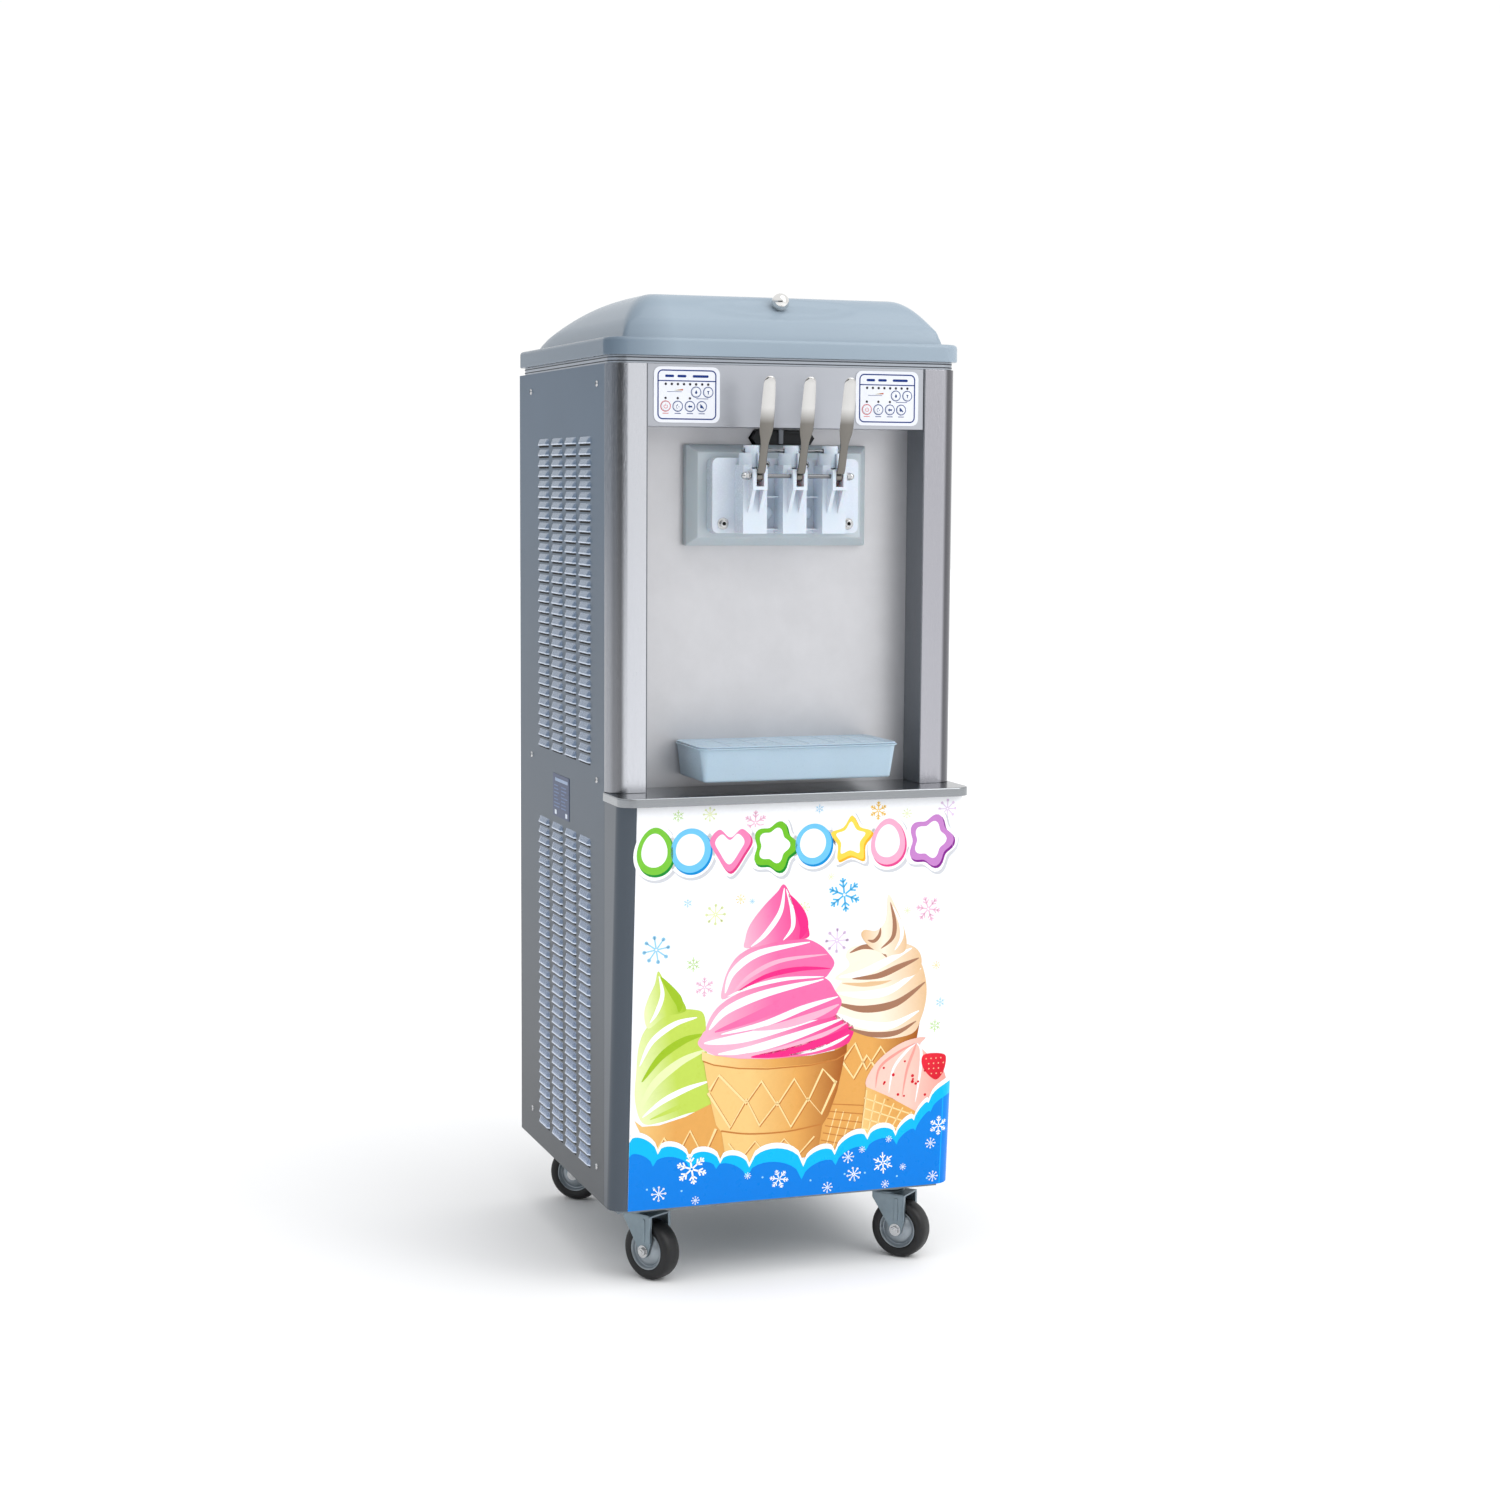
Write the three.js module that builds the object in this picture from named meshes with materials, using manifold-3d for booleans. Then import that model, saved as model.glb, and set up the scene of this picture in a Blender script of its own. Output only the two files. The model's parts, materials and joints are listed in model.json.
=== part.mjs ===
// Soft serve machine, floor standing: two freezing cylinders, three taps, a lift-off lid over two
// mix hoppers, a hanging drip tray and four swivel castors.
// Millimetres, +Z up, the front faces -Y. The origin is on the floor under the middle of the object.
// Inside the machine group, Y is counted from the front plane of the upper columns, positive backwards.

import * as THREE from 'three';
import { mergeVertices } from 'three/addons/utils/BufferGeometryUtils.js';
import { ConvexGeometry } from 'three/addons/geometries/ConvexGeometry.js';
import Module from 'manifold-3d';

// ---------- driving dimensions ----------

const GAP = 0.3;
const SHEET = 1.6;

const HALF_WIDTH = 270;
const BODY_DEPTH = 519;
const HANDLE_REACH = 96;
const GLAND_LENGTH = 20;
const FRONT_PLANE_Y = (HANDLE_REACH - BODY_DEPTH - GLAND_LENGTH) / 2;
const CABINET_BOTTOM = 122;
const SHELF_TOP = 738;
const SHELF_THICKNESS = 13;
const CABINET_TOP = 1355;
const FRAME_TOP = 1366;
const RIM_TOP = 1392;
const DOME_HEIGHT = 66;

const COLUMN_SEAM = 28;
const COLUMN_INNER_X = 213.8;
const BAY_DEPTH = 62;
const FRONT_TOP_Y = -54;
const FRONT_BOTTOM_Y = -10;
const FRONT_PANEL_HALF = 245;
const LOWER_CORNER = 24;
const SHELF_FRONT_Y = -66;

const FASCIA_Y = 2;
const FASCIA_BOTTOM = 1266;
const KEYPAD_X = 155;
const KEYPAD_Z = 1311;
const KEYPAD_SIZE = [99.5, 79.5];
const KEY_RADIUS = 6.3;
const KEY_PLACES = [[13.6, 4], [31.9, 4], [-32.2, -16.5], [-13.9, -16.5], [4.4, -16.5], [22.3, -16.5]];

const TAP_PITCH = 61;
const HEAD_Z = 1168;
const TAP_AXIS_Y = -11;
const PIVOT_Y = -42;
const PIVOT_Z = 1196;
const PILLAR_TOP = 1229;
const RETAINER_Z = 1232.2;

const CYLINDER_RADIUS = 52;
const WHEEL_RADIUS = 45;
const WHEEL_HALF_WIDTH = 16;
const CASTOR_TRAIL = 18;
const PAN_BOTTOM = 114;
const CASTORS = [
  { name: 'front_left', x: -199, y: 62, turn: 31 },
  { name: 'front_right', x: 197, y: 50, turn: 42 },
  { name: 'rear_left', x: -166, y: 486, turn: 230 },
  { name: 'rear_right', x: 166, y: 486, turn: 130 },
];

// ---------- shape helpers ----------

const wasm = await Module();
wasm.setup();

const SIDES = [['left', -1], ['right', 1]];
const AXIS_BASES = {
  X: [[0, 1, 0], [0, 0, 1], [1, 0, 0]],
  Y: [[1, 0, 0], [0, 0, 1], [0, -1, 0]],
  Z: [[1, 0, 0], [0, 1, 0], [0, 0, 1]],
};

function solidOf(geometry) {
  const bare = geometry.clone();
  bare.deleteAttribute('normal');
  bare.deleteAttribute('uv');
  const merged = mergeVertices(bare, 1e-4);
  return new wasm.Manifold(new wasm.Mesh({
    numProp: 3,
    vertProperties: Float32Array.from(merged.attributes.position.array),
    triVerts: Uint32Array.from(merged.index.array),
  }));
}

function geometryOf(solid) {
  const mesh = solid.getMesh();
  const geometry = new THREE.BufferGeometry();
  geometry.setAttribute('position', new THREE.BufferAttribute(mesh.vertProperties, 3));
  geometry.setIndex(new THREE.BufferAttribute(mesh.triVerts, 1));
  return geometry;
}

function join(...geometries) {
  return geometryOf(geometries.map(solidOf).reduce((sum, next) => sum.add(next)));
}

function cut(body, ...tools) {
  return geometryOf(tools.map(solidOf).reduce((rest, tool) => rest.subtract(tool), solidOf(body)));
}

function common(first, second) {
  return geometryOf(solidOf(first).intersect(solidOf(second)));
}

function box(x0, x1, y0, y1, z0, z1) {
  const geometry = new THREE.BoxGeometry(Math.abs(x1 - x0), y1 - y0, z1 - z0);
  return geometry.translate((x0 + x1) / 2, (y0 + y1) / 2, (z0 + z1) / 2);
}

// Extrudes a flat outline along X (outline in Y, Z), Y (outline in X, Z) or Z (outline in X, Y).
function prism(axis, shape, from, to, curveSegments = 2) {
  const geometry = new THREE.ExtrudeGeometry(shape, { depth: to - from, bevelEnabled: false, curveSegments });
  const basis = AXIS_BASES[axis].map((column) => new THREE.Vector3(...column));
  geometry.applyMatrix4(new THREE.Matrix4().makeBasis(...basis));
  const start = axis === 'Y' ? to : from;
  return geometry.translate(axis === 'X' ? start : 0, axis === 'Y' ? start : 0, axis === 'Z' ? start : 0);
}

function outline(points) {
  return new THREE.Shape(points.map(([u, v]) => new THREE.Vector2(u, v)));
}

function roundedRect(u0, u1, v0, v1, radius) {
  const shape = new THREE.Shape();
  shape.absarc(u1 - radius, v0 + radius, radius, -Math.PI / 2, 0);
  shape.absarc(u1 - radius, v1 - radius, radius, 0, Math.PI / 2);
  shape.absarc(u0 + radius, v1 - radius, radius, Math.PI / 2, Math.PI);
  shape.absarc(u0 + radius, v0 + radius, radius, Math.PI, Math.PI * 1.5);
  return shape;
}

function circle(u, v, radius) {
  const shape = new THREE.Shape();
  shape.absarc(u, v, radius, 0, Math.PI * 2);
  return shape;
}

// A round bar or hole along one axis; u and v are its place on the other two.
function rod(axis, u, v, radius, from, to, sides = 24) {
  return prism(axis, circle(u, v, radius), from, to, sides / 2);
}

// A turned piece: profile of [radius, height] pairs about +Z that starts and ends on the axis.
function turned(profile, sides = 28) {
  const points = profile.map(([radius, height]) => new THREE.Vector2(radius, height));
  return new THREE.LatheGeometry(points, sides).rotateX(Math.PI / 2);
}

function ringPoints(x0, x1, y0, y1, radius, z) {
  return roundedRect(x0, x1, y0, y1, radius).getPoints(2).map((p) => new THREE.Vector3(p.x, p.y, z));
}

function hull(...lists) {
  return new ConvexGeometry(lists.flat());
}

function finish(color, roughness, metalness) {
  return new THREE.MeshStandardMaterial({ color, roughness, metalness });
}

const STEEL = finish(0xc4c6c8, 0.38, 0.85);
const SIDE_PAINT = finish(0x6f7d8b, 0.45, 0.4);
const SHELF_STEEL = finish(0x8f9292, 0.3, 0.9);
const ZINC = finish(0x87939a, 0.4, 0.8);
const POLISHED = finish(0xd8d6d0, 0.15, 1);
const LID_BLUE = finish(0xa3b3c0, 0.3, 0);
const PALE_BLUE = finish(0xbdd0de, 0.35, 0);
const LABEL_WHITE = finish(0xeef0f4, 0.4, 0);
const FRONT_WHITE = finish(0xf4f6fa, 0.35, 0);
const TYRE_BLACK = finish(0x161618, 0.7, 0);
const IRON_BLACK = finish(0x26282b, 0.55, 0.3);

const object = new THREE.Group();
const machine = new THREE.Group();
machine.position.y = FRONT_PLANE_Y;
object.add(machine);

function add(name, geometry, material, parent = machine) {
  const mesh = new THREE.Mesh(geometry, material.clone());
  mesh.name = name;
  parent.add(mesh);
  return mesh;
}

// ---------- welded frame: pan, angle posts, rails, deck and castor bosses ----------

function baseFrame() {
  const pan = cut(box(-255, 255, 8, 514, PAN_BOTTOM, 146), box(-252, 252, 11, 511, PAN_BOTTOM + 3, 150));
  const posts = [];
  for (const side of [-1, 1]) {
    posts.push(box(side * 259, side * 262, 68, 92, PAN_BOTTOM + 2, 1345));
    posts.push(box(side * 238, side * 262, 68, 71, PAN_BOTTOM + 2, 1345));
    posts.push(box(side * 259, side * 262, 488, 512, PAN_BOTTOM + 2, 1345));
    posts.push(box(side * 238, side * 262, 509, 512, PAN_BOTTOM + 2, 1345));
    posts.push(box(side * 259, side * 262, 68, 512, 1330, 1354));
  }
  const rails = [box(-262, 262, 68, 71, 1330, 1354), box(-262, 262, 509, 512, 1330, 1354)];
  const deckTop = 1094;
  const deck = box(-260, 260, 70, 510, deckTop - 3, deckTop);
  const cradles = [110, 340].map((y) => box(-100, 100, y, y + 14, deckTop - 1, HEAD_Z - CYLINDER_RADIUS - GAP));
  const bosses = CASTORS.map(({ x, y }) => rod('Z', x, y, 20, PAN_BOTTOM - 8, PAN_BOTTOM + 1));
  const stemHoles = CASTORS.map(({ x, y }) => rod('Z', x, y, 6.5, PAN_BOTTOM - 9, PAN_BOTTOM + 4, 16));
  return cut(join(pan, ...posts, ...rails, deck, ...cradles, ...bosses), ...stemHoles);
}

// ---------- sheet metal skins ----------

function sidePanel(side) {
  const front = COLUMN_SEAM + GAP;
  const flange = 14;
  const points = [
    [HALF_WIDTH, front], [HALF_WIDTH, BODY_DEPTH], [HALF_WIDTH - flange, BODY_DEPTH],
    [HALF_WIDTH - flange, BODY_DEPTH - SHEET], [HALF_WIDTH - SHEET, BODY_DEPTH - SHEET],
    [HALF_WIDTH - SHEET, front + SHEET], [HALF_WIDTH - flange, front + SHEET], [HALF_WIDTH - flange, front],
  ];
  return prism('Z', outline(points.map(([x, y]) => [side * x, y])), CABINET_BOTTOM, CABINET_TOP - GAP);
}

function rearPanel() {
  const sheet = box(-255.6, 255.6, BODY_DEPTH - SHEET, BODY_DEPTH, CABINET_BOTTOM, CABINET_TOP - GAP);
  const slots = [];
  for (const x of [-110, 110]) {
    for (let row = 0; row < 7; row += 1) {
      const z = 260 + row * 36;
      slots.push(box(x - 75, x + 75, BODY_DEPTH - 5, BODY_DEPTH + 3, z, z + 10));
    }
  }
  const inletHole = rod('Y', -190, 190, 11, BODY_DEPTH - 5, BODY_DEPTH + 3);
  return cut(sheet, ...slots, inletHole);
}

function upperColumn(side) {
  const corner = [HALF_WIDTH - COLUMN_SEAM, COLUMN_SEAM];
  const arc = (radius, step) => {
    const angle = (step / 8) * (Math.PI / 2);
    return [corner[0] + radius * Math.cos(angle), corner[1] - radius * Math.sin(angle)];
  };
  const steps = [0, 1, 2, 3, 4, 5, 6, 7, 8];
  const points = [
    [COLUMN_INNER_X, BAY_DEPTH], [COLUMN_INNER_X, 0],
    ...steps.map((step) => arc(COLUMN_SEAM, 8 - step)),
    ...steps.map((step) => arc(COLUMN_SEAM - SHEET, step)),
    [COLUMN_INNER_X + SHEET, SHEET], [COLUMN_INNER_X + SHEET, BAY_DEPTH],
  ];
  return prism('Z', outline(points.map(([x, y]) => [side * x, y])), SHELF_TOP + GAP, CABINET_TOP - GAP);
}

function controlFascia() {
  const half = COLUMN_INNER_X - GAP;
  const top = CABINET_TOP - GAP;
  const back = BAY_DEPTH - 0.5;
  const skin = outline([
    [FASCIA_Y, FASCIA_BOTTOM], [back, FASCIA_BOTTOM], [back, FASCIA_BOTTOM + SHEET],
    [FASCIA_Y + SHEET, FASCIA_BOTTOM + SHEET], [FASCIA_Y + SHEET, top - SHEET], [back, top - SHEET],
    [back, top], [FASCIA_Y, top],
  ]);
  const windows = [-1, 1].map((side) => {
    const x = side * KEYPAD_X;
    return box(x - 42, x + 42, -1, 6, KEYPAD_Z - 27, KEYPAD_Z + 14);
  });
  return cut(prism('X', skin, -half, half), ...windows);
}

function splashPanel() {
  const sheet = box(-234, 234, BAY_DEPTH + GAP, BAY_DEPTH + GAP + SHEET, 700, CABINET_TOP - GAP);
  const switchWindow = outline([[-40, 1252], [-31, 1238], [55, 1238], [64, 1252], [55, 1265], [-31, 1265]]);
  const tools = [prism('Y', switchWindow, 55, 70)];
  for (const side of [-1, 1]) {
    tools.push(rod('Y', side * TAP_PITCH, HEAD_Z, 44, 55, 70, 28));
    tools.push(box(side * 69, side * 91, 55, 70, 784, 791));
  }
  return cut(sheet, ...tools);
}

// The shelf is notched at its back corners, where it passes between the side panels.
function shelfOutline(inset) {
  const half = 272 - inset;
  const front = SHELF_FRONT_Y + inset;
  const radius = 24 - inset;
  const notch = 255.5 - inset;
  const shape = new THREE.Shape();
  shape.moveTo(notch, BAY_DEPTH - inset);
  shape.lineTo(-notch, BAY_DEPTH - inset);
  shape.lineTo(-notch, COLUMN_SEAM - inset);
  shape.lineTo(-half, COLUMN_SEAM - inset);
  shape.absarc(-half + radius, front + radius, radius, Math.PI, Math.PI * 1.5);
  shape.absarc(half - radius, front + radius, radius, -Math.PI / 2, 0);
  shape.lineTo(half, COLUMN_SEAM - inset);
  shape.lineTo(notch, COLUMN_SEAM - inset);
  return shape;
}

// The strip that passes under the columns is pressed down a little, so the open ledge is a face of its own.
function shelf() {
  const bottom = SHELF_TOP - SHELF_THICKNESS;
  const block = prism('Z', shelfOutline(0), bottom, SHELF_TOP, 4);
  const hollow = prism('Z', shelfOutline(SHEET), bottom - 5, SHELF_TOP - SHEET, 4);
  const strip = box(-300, 300, -GAP, BAY_DEPTH + 5, SHELF_TOP - GAP, SHELF_TOP + 5);
  return cut(block, hollow, strip);
}

// The lower front leans: its top edge stands further forward than its bottom edge.
const LOWER_TOP = SHELF_TOP - SHELF_THICKNESS - GAP;
const LEAN = Math.atan2(FRONT_BOTTOM_Y - FRONT_TOP_Y, LOWER_TOP - CABINET_BOTTOM);
const LEAN_LENGTH = (LOWER_TOP - CABINET_BOTTOM) / Math.cos(LEAN);

function leaned(geometry) {
  return geometry.rotateX(LEAN).translate(0, FRONT_BOTTOM_Y, CABINET_BOTTOM);
}

function lowerCheek(side) {
  const radius = LOWER_CORNER;
  const corner = [HALF_WIDTH - radius, radius];
  const steps = [0, 1, 2, 3, 4, 5];
  const arc = (r, step) => {
    const angle = (step / 5) * (Math.PI / 2);
    return [corner[0] + r * Math.cos(angle), corner[1] - r * Math.sin(angle)];
  };
  const inner = FRONT_PANEL_HALF + GAP;
  const points = [
    [HALF_WIDTH, 140], ...steps.map((step) => arc(radius, step)),
    [inner, 0], [inner, SHEET], ...steps.map((step) => arc(radius - SHEET, 5 - step)), [HALF_WIDTH - SHEET, 140],
  ];
  const sheet = prism('Z', outline(points.map(([x, y]) => [side * x, y])), -30, LEAN_LENGTH + 30);
  return common(leaned(sheet), box(-300, 300, -100, COLUMN_SEAM, CABINET_BOTTOM, LOWER_TOP));
}

function frontPanel() {
  const half = FRONT_PANEL_HALF;
  const pan = cut(
    box(-half, half, 0, 16, 2, LEAN_LENGTH - 1),
    box(-half + SHEET, half - SHEET, SHEET, 20, 2 + SHEET, LEAN_LENGTH - 1 - SHEET),
  );
  return leaned(pan);
}

function topFrame() {
  const block = prism('Z', roundedRect(-267, 267, 3, 517, 24), CABINET_TOP, FRAME_TOP);
  const wells = [-1, 1].map((side) => {
    const [x0, x1] = side < 0 ? [-227, -7] : [7, 227];
    return prism('Z', roundedRect(x0, x1, 77, 333, 22), CABINET_TOP - 5, FRAME_TOP + 5);
  });
  const underside = prism('Z', roundedRect(-265, 265, 5, 515, 22), CABINET_TOP - 5, FRAME_TOP - 2);
  return cut(block, underside, ...wells);
}

// ---------- lid ----------

// Side outline of the dome: a front face that leans back, a round crown and a long fall to the back.
function domeOutline(inset, bottom) {
  const front = 8 + inset;
  const height = DOME_HEIGHT - inset;
  const crownY = 130;
  const fall = 512 - inset - crownY;
  const shape = new THREE.Shape();
  shape.moveTo(512 - inset, bottom);
  shape.lineTo(front, bottom);
  shape.lineTo(front, RIM_TOP);
  shape.lineTo(front + 50, RIM_TOP + height * 0.74);
  shape.quadraticCurveTo(front + 72, RIM_TOP + height, crownY, RIM_TOP + height);
  for (let step = 1; step <= 14; step += 1) {
    const angle = (step / 14) * (Math.PI / 2);
    const y = crownY + fall * Math.sin(angle) ** (2 / 2.6);
    shape.lineTo(y, RIM_TOP + height * Math.max(0, Math.cos(angle)));
  }
  return shape;
}

function dome(inset, bottom) {
  const foot = 250 - inset;
  const crown = 212 - inset;
  const ends = outline([
    [-foot, bottom], [foot, bottom], [foot, RIM_TOP], [crown, RIM_TOP + DOME_HEIGHT],
    [-crown, RIM_TOP + DOME_HEIGHT], [-foot, RIM_TOP],
  ]);
  return common(prism('X', domeOutline(inset, bottom), -260, 260), prism('Y', ends, 0, 520));
}

function hopperLid() {
  const wall = 3;
  const bottom = FRAME_TOP + GAP;
  const rim = prism('Z', roundedRect(-274, 274, -6, 526, 30), bottom, RIM_TOP);
  const rimHollow = prism('Z', roundedRect(-271, 271, -3, 523, 27), bottom + wall, RIM_TOP - wall);
  const mouth = prism('Z', roundedRect(-255, 255, 13, 507, 14), bottom - 5, bottom + wall + 1);
  return cut(join(rim, dome(0, RIM_TOP - 1)), rimHollow, mouth, dome(wall, RIM_TOP - wall - 1));
}

function lidKnob() {
  return turned([
    [0, 0], [9, 0], [9.5, 1.5], [9, 4], [6, 6], [6, 9], [9.5, 11], [12.2, 15], [13, 19.5], [12.2, 24],
    [9.2, 28.7], [5, 31.5], [0, 32.5],
  ], 20);
}

// ---------- hoppers and freezing system ----------

function hopper(side) {
  const [x0, x1] = side < 0 ? [-225, -9] : [9, 225];
  const bottom = 1250;
  const body = prism('Z', roundedRect(x0, x1, 79, 331, 20), bottom, FRAME_TOP + GAP + 1);
  const flange = prism('Z', roundedRect(x0 - 4.5, x1 + 4.5, 74, 336, 24), FRAME_TOP + GAP, FRAME_TOP + GAP + 2);
  const inside = prism('Z', roundedRect(x0 + 2, x1 - 2, 81, 329, 18), bottom + 2, FRAME_TOP + 10);
  const feedHole = rod('Z', side * TAP_PITCH, 200, 10, bottom - 5, bottom + 5);
  return cut(join(body, flange), inside, feedHole);
}

function freezingCylinder(side) {
  const x = side * TAP_PITCH;
  const barrel = rod('Y', x, HEAD_Z, CYLINDER_RADIUS, 66, 380, 32);
  const bore = rod('Y', x, HEAD_Z, 43, 60, 372, 32);
  const shaftHole = rod('Y', x, HEAD_Z, 9, 365, 390, 16);
  return cut(barrel, bore, shaftHole);
}

// Dasher: a shaft along Y with a helical ribbon held by four arms; its back end is at the origin.
function beater() {
  const length = 280;
  const steps = 36;
  const place = (part) => ({ angle: part * Math.PI * 5, y: -part * length });
  const points = [];
  for (let step = 0; step <= steps; step += 1) {
    const { angle, y } = place(step / steps);
    points.push(new THREE.Vector3(35 * Math.cos(angle), y, 35 * Math.sin(angle)));
  }
  const section = outline([[-3, -4], [3, -4], [3, 4], [-3, 4]]);
  const path = new THREE.CatmullRomCurve3(points);
  const ribbon = new THREE.ExtrudeGeometry(section, { steps, extrudePath: path, bevelEnabled: false });
  const arms = [0.015, 0.35, 0.65, 0.985].map((part) => {
    const { angle, y } = place(part);
    return box(0, 34, y - 3, y + 3, -3, 3).rotateY(-angle);
  });
  return join(ribbon, rod('Y', 0, 0, 8, -290, 32, 20), ...arms);
}

function driveUnit() {
  const gearbox = box(-112, 112, 392, 440, HEAD_Z - 48, HEAD_Z + 48);
  const pedestal = box(-60, 60, 396, 436, 1094 + GAP, HEAD_Z - 47);
  const motor = rod('Y', 0, HEAD_Z, 46, 439, 504, 32);
  const sockets = [-1, 1].map((side) => rod('Y', side * TAP_PITCH, HEAD_Z, 9, 385, 430, 20));
  return cut(join(gearbox, pedestal, motor), ...sockets);
}

function compressor() {
  const can = turned([[0, 12], [78, 12], [84, 20], [86, 40], [86, 150], [80, 185], [60, 205], [30, 214], [0, 216]], 24);
  const feet = box(-95, 95, -60, 60, 0, 13);
  const pipe = rod('Z', 55, 30, 6, 180, 245, 12);
  return join(can, feet, pipe);
}

// Finned block: thin fins on a spine, seen from above as a comb.
function condenser() {
  const pitch = 17;
  const comb = new THREE.Shape();
  comb.moveTo(-204, 130);
  for (let fin = 0; fin < 17; fin += 1) {
    const y = 130 + fin * pitch;
    comb.lineTo(-248, y);
    comb.lineTo(-248, y + 3);
    if (fin < 16) {
      comb.lineTo(-210, y + 3);
      comb.lineTo(-210, y + pitch);
    }
  }
  comb.lineTo(-204, 405);
  return prism('Z', comb, 117 + GAP, 520);
}

// Axial fan with an external rotor motor in its hub; its axis is X.
function condenserFan() {
  const hub = rod('X', 0, 0, 36, -18, 18, 24);
  const blades = [0, 1, 2, 3, 4].map((index) => {
    const blade = box(-2, 2, -27, 27, 30, 112).rotateZ(0.6);
    return blade.rotateX((index / 5) * Math.PI * 2);
  });
  return join(hub, ...blades);
}

// ---------- dispensing head ----------

function headBezel() {
  const rect = (half, z0, z1, y) => [[-half, z0], [half, z0], [half, z1], [-half, z1]]
    .map(([x, z]) => new THREE.Vector3(x, y, z));
  const block = hull(rect(141, 1094, 1242, BAY_DEPTH), rect(141, 1094, 1242, 50), rect(127, 1106, 1230, 34));
  const ports = [-1, 1].map((side) => rod('Y', side * TAP_PITCH, HEAD_Z, 40, 30, 70, 28));
  return cut(block, ...ports);
}

function tapYoke(x) {
  const cheeks = [-1, 1].map((side) => box(x + side * 5.7, x + side * 11, -52, -29, 1180, 1206));
  const lip = box(x - 11, x + 11, -52, -29, 1176, 1181);
  const gussets = [-1, 1].map((side) => {
    const x0 = x + side * 5.7;
    const x1 = x + side * 11;
    const wedge = outline([[-50, 1177], [-29, 1177], [-29, 1140]]);
    return prism('X', wedge, Math.min(x0, x1), Math.max(x0, x1));
  });
  return [...cheeks, lip, ...gussets];
}

function dispensingHead() {
  const plate = prism('Y', roundedRect(-113.5, 113.5, 1113, 1222, 9), 8, 34 - GAP);
  const added = [plate];
  const removed = [rod('X', PIVOT_Y, PIVOT_Z, 3.4, -90, 90, 16)];
  for (const x of [-TAP_PITCH, 0, TAP_PITCH]) {
    added.push(box(x - 18.2, x + 18.2, -30, 9, 1113, 1212));
    added.push(rod('Z', x, TAP_AXIS_Y, 18.2, 1211, PILLAR_TOP, 24));
    added.push(...tapYoke(x));
    removed.push(rod('Z', x, TAP_AXIS_Y, 12, 1100, 1240, 20));
    removed.push(box(x - 5.2, x + 5.2, -32, TAP_AXIS_Y, 1183, 1240));
  }
  for (const side of [-1, 1]) {
    removed.push(rod('Y', side * TAP_PITCH, HEAD_Z - 20, 8, TAP_AXIS_Y, 40, 16));
  }
  return cut(join(...added), ...removed);
}

// Valve plunger: a notch for the lever tip and a slot for the retaining bar.
function plunger() {
  const body = rod('Z', 0, 0, 11.6, 1118, 1240, 20);
  const notch = box(-6, 6, -13, 0, 1180, 1208);
  const slot = box(-13, 13, -3.2, 3.2, 1206.5, 1235.5);
  return cut(body, notch, slot);
}

// Bent spoon lever about its pivot at the origin: the side profile meets the front outline.
function handle() {
  const side = outline([
    [-2.6, 5], [-44, 68], [-47, 74], [-54, 142], [-52, 147], [-49, 145], [-42.5, 77], [-39, 69], [5.5, 4],
  ]);
  const front = new THREE.Shape();
  front.moveTo(-4.6, -2);
  front.lineTo(4.6, -2);
  front.lineTo(4.6, 30);
  front.quadraticCurveTo(5.4, 44, 7.6, 56);
  front.quadraticCurveTo(10.2, 68, 10.2, 80);
  front.lineTo(9.4, 138);
  front.quadraticCurveTo(8.6, 148, 0, 148);
  front.quadraticCurveTo(-8.6, 148, -9.4, 138);
  front.lineTo(-10.2, 80);
  front.quadraticCurveTo(-10.2, 68, -7.6, 56);
  front.quadraticCurveTo(-5.4, 44, -4.6, 30);
  const spoon = common(prism('X', side, -12, 12), prism('Y', front, -70, 20, 4));
  const hub = rod('X', 0, 0, 8, -4.6, 4.6, 16);
  const arm = box(-3.4, 3.4, 0, 26, -2.5, 2.5);
  const tip = rod('X', 26, 0, 4.2, -3.4, 3.4, 12);
  return cut(join(spoon, hub, arm, tip), rod('X', 0, 0, 3.4, -10, 10, 16));
}

// ---------- drip tray ----------

const TRAY_BACK = BAY_DEPTH - 0.2;

function dripTray() {
  const outer = hull(
    ringPoints(-152, 152, -62, TRAY_BACK, 14, 804),
    ringPoints(-145, 145, -56, TRAY_BACK, 12, 756),
  );
  const rim = prism('Z', roundedRect(-155, 155, -65, TRAY_BACK, 15), 803, 806, 5);
  const inside = hull(
    ringPoints(-149.6, 149.6, -59.6, TRAY_BACK - 2.4, 12, 807),
    ringPoints(-142.4, 142.4, -53.4, TRAY_BACK - 2.4, 10, 758.4),
  );
  const pegs = [-1, 1].map((side) => box(side * 70, side * 90, TRAY_BACK - 1, 76, 785, 790));
  return join(cut(join(outer, rim), inside), ...pegs);
}

function trayCover() {
  const plate = prism('Z', roundedRect(-153, 153, -63, TRAY_BACK - 0.3, 13), 806 + GAP, 808.5, 5);
  const slots = [];
  for (let column = -3; column <= 3; column += 1) {
    for (const y of [-40, -8, 24]) {
      slots.push(box(column * 36 - 12, column * 36 + 12, y, y + 5, 800, 815));
    }
  }
  return cut(plate, ...slots);
}

// ---------- controls ----------

function keypad() {
  const [width, height] = KEYPAD_SIZE;
  const sheet = prism('Y', roundedRect(-width / 2, width / 2, -height / 2, height / 2, 10), 0.7, FASCIA_Y - GAP);
  const holes = KEY_PLACES.map(([x, z]) => rod('Y', x, z, KEY_RADIUS + 0.4, -2, 5, 12));
  return cut(sheet, ...holes);
}

// Key cap, axis Y, face at the origin: a low dome on a plain stem.
function keyCap() {
  const profile = [[0, -3.4], [KEY_RADIUS, -3.4], [KEY_RADIUS, -0.5], [KEY_RADIUS - 1.2, -0.1], [0, 0]];
  return turned(profile, 12).rotateX(Math.PI / 2);
}

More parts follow.
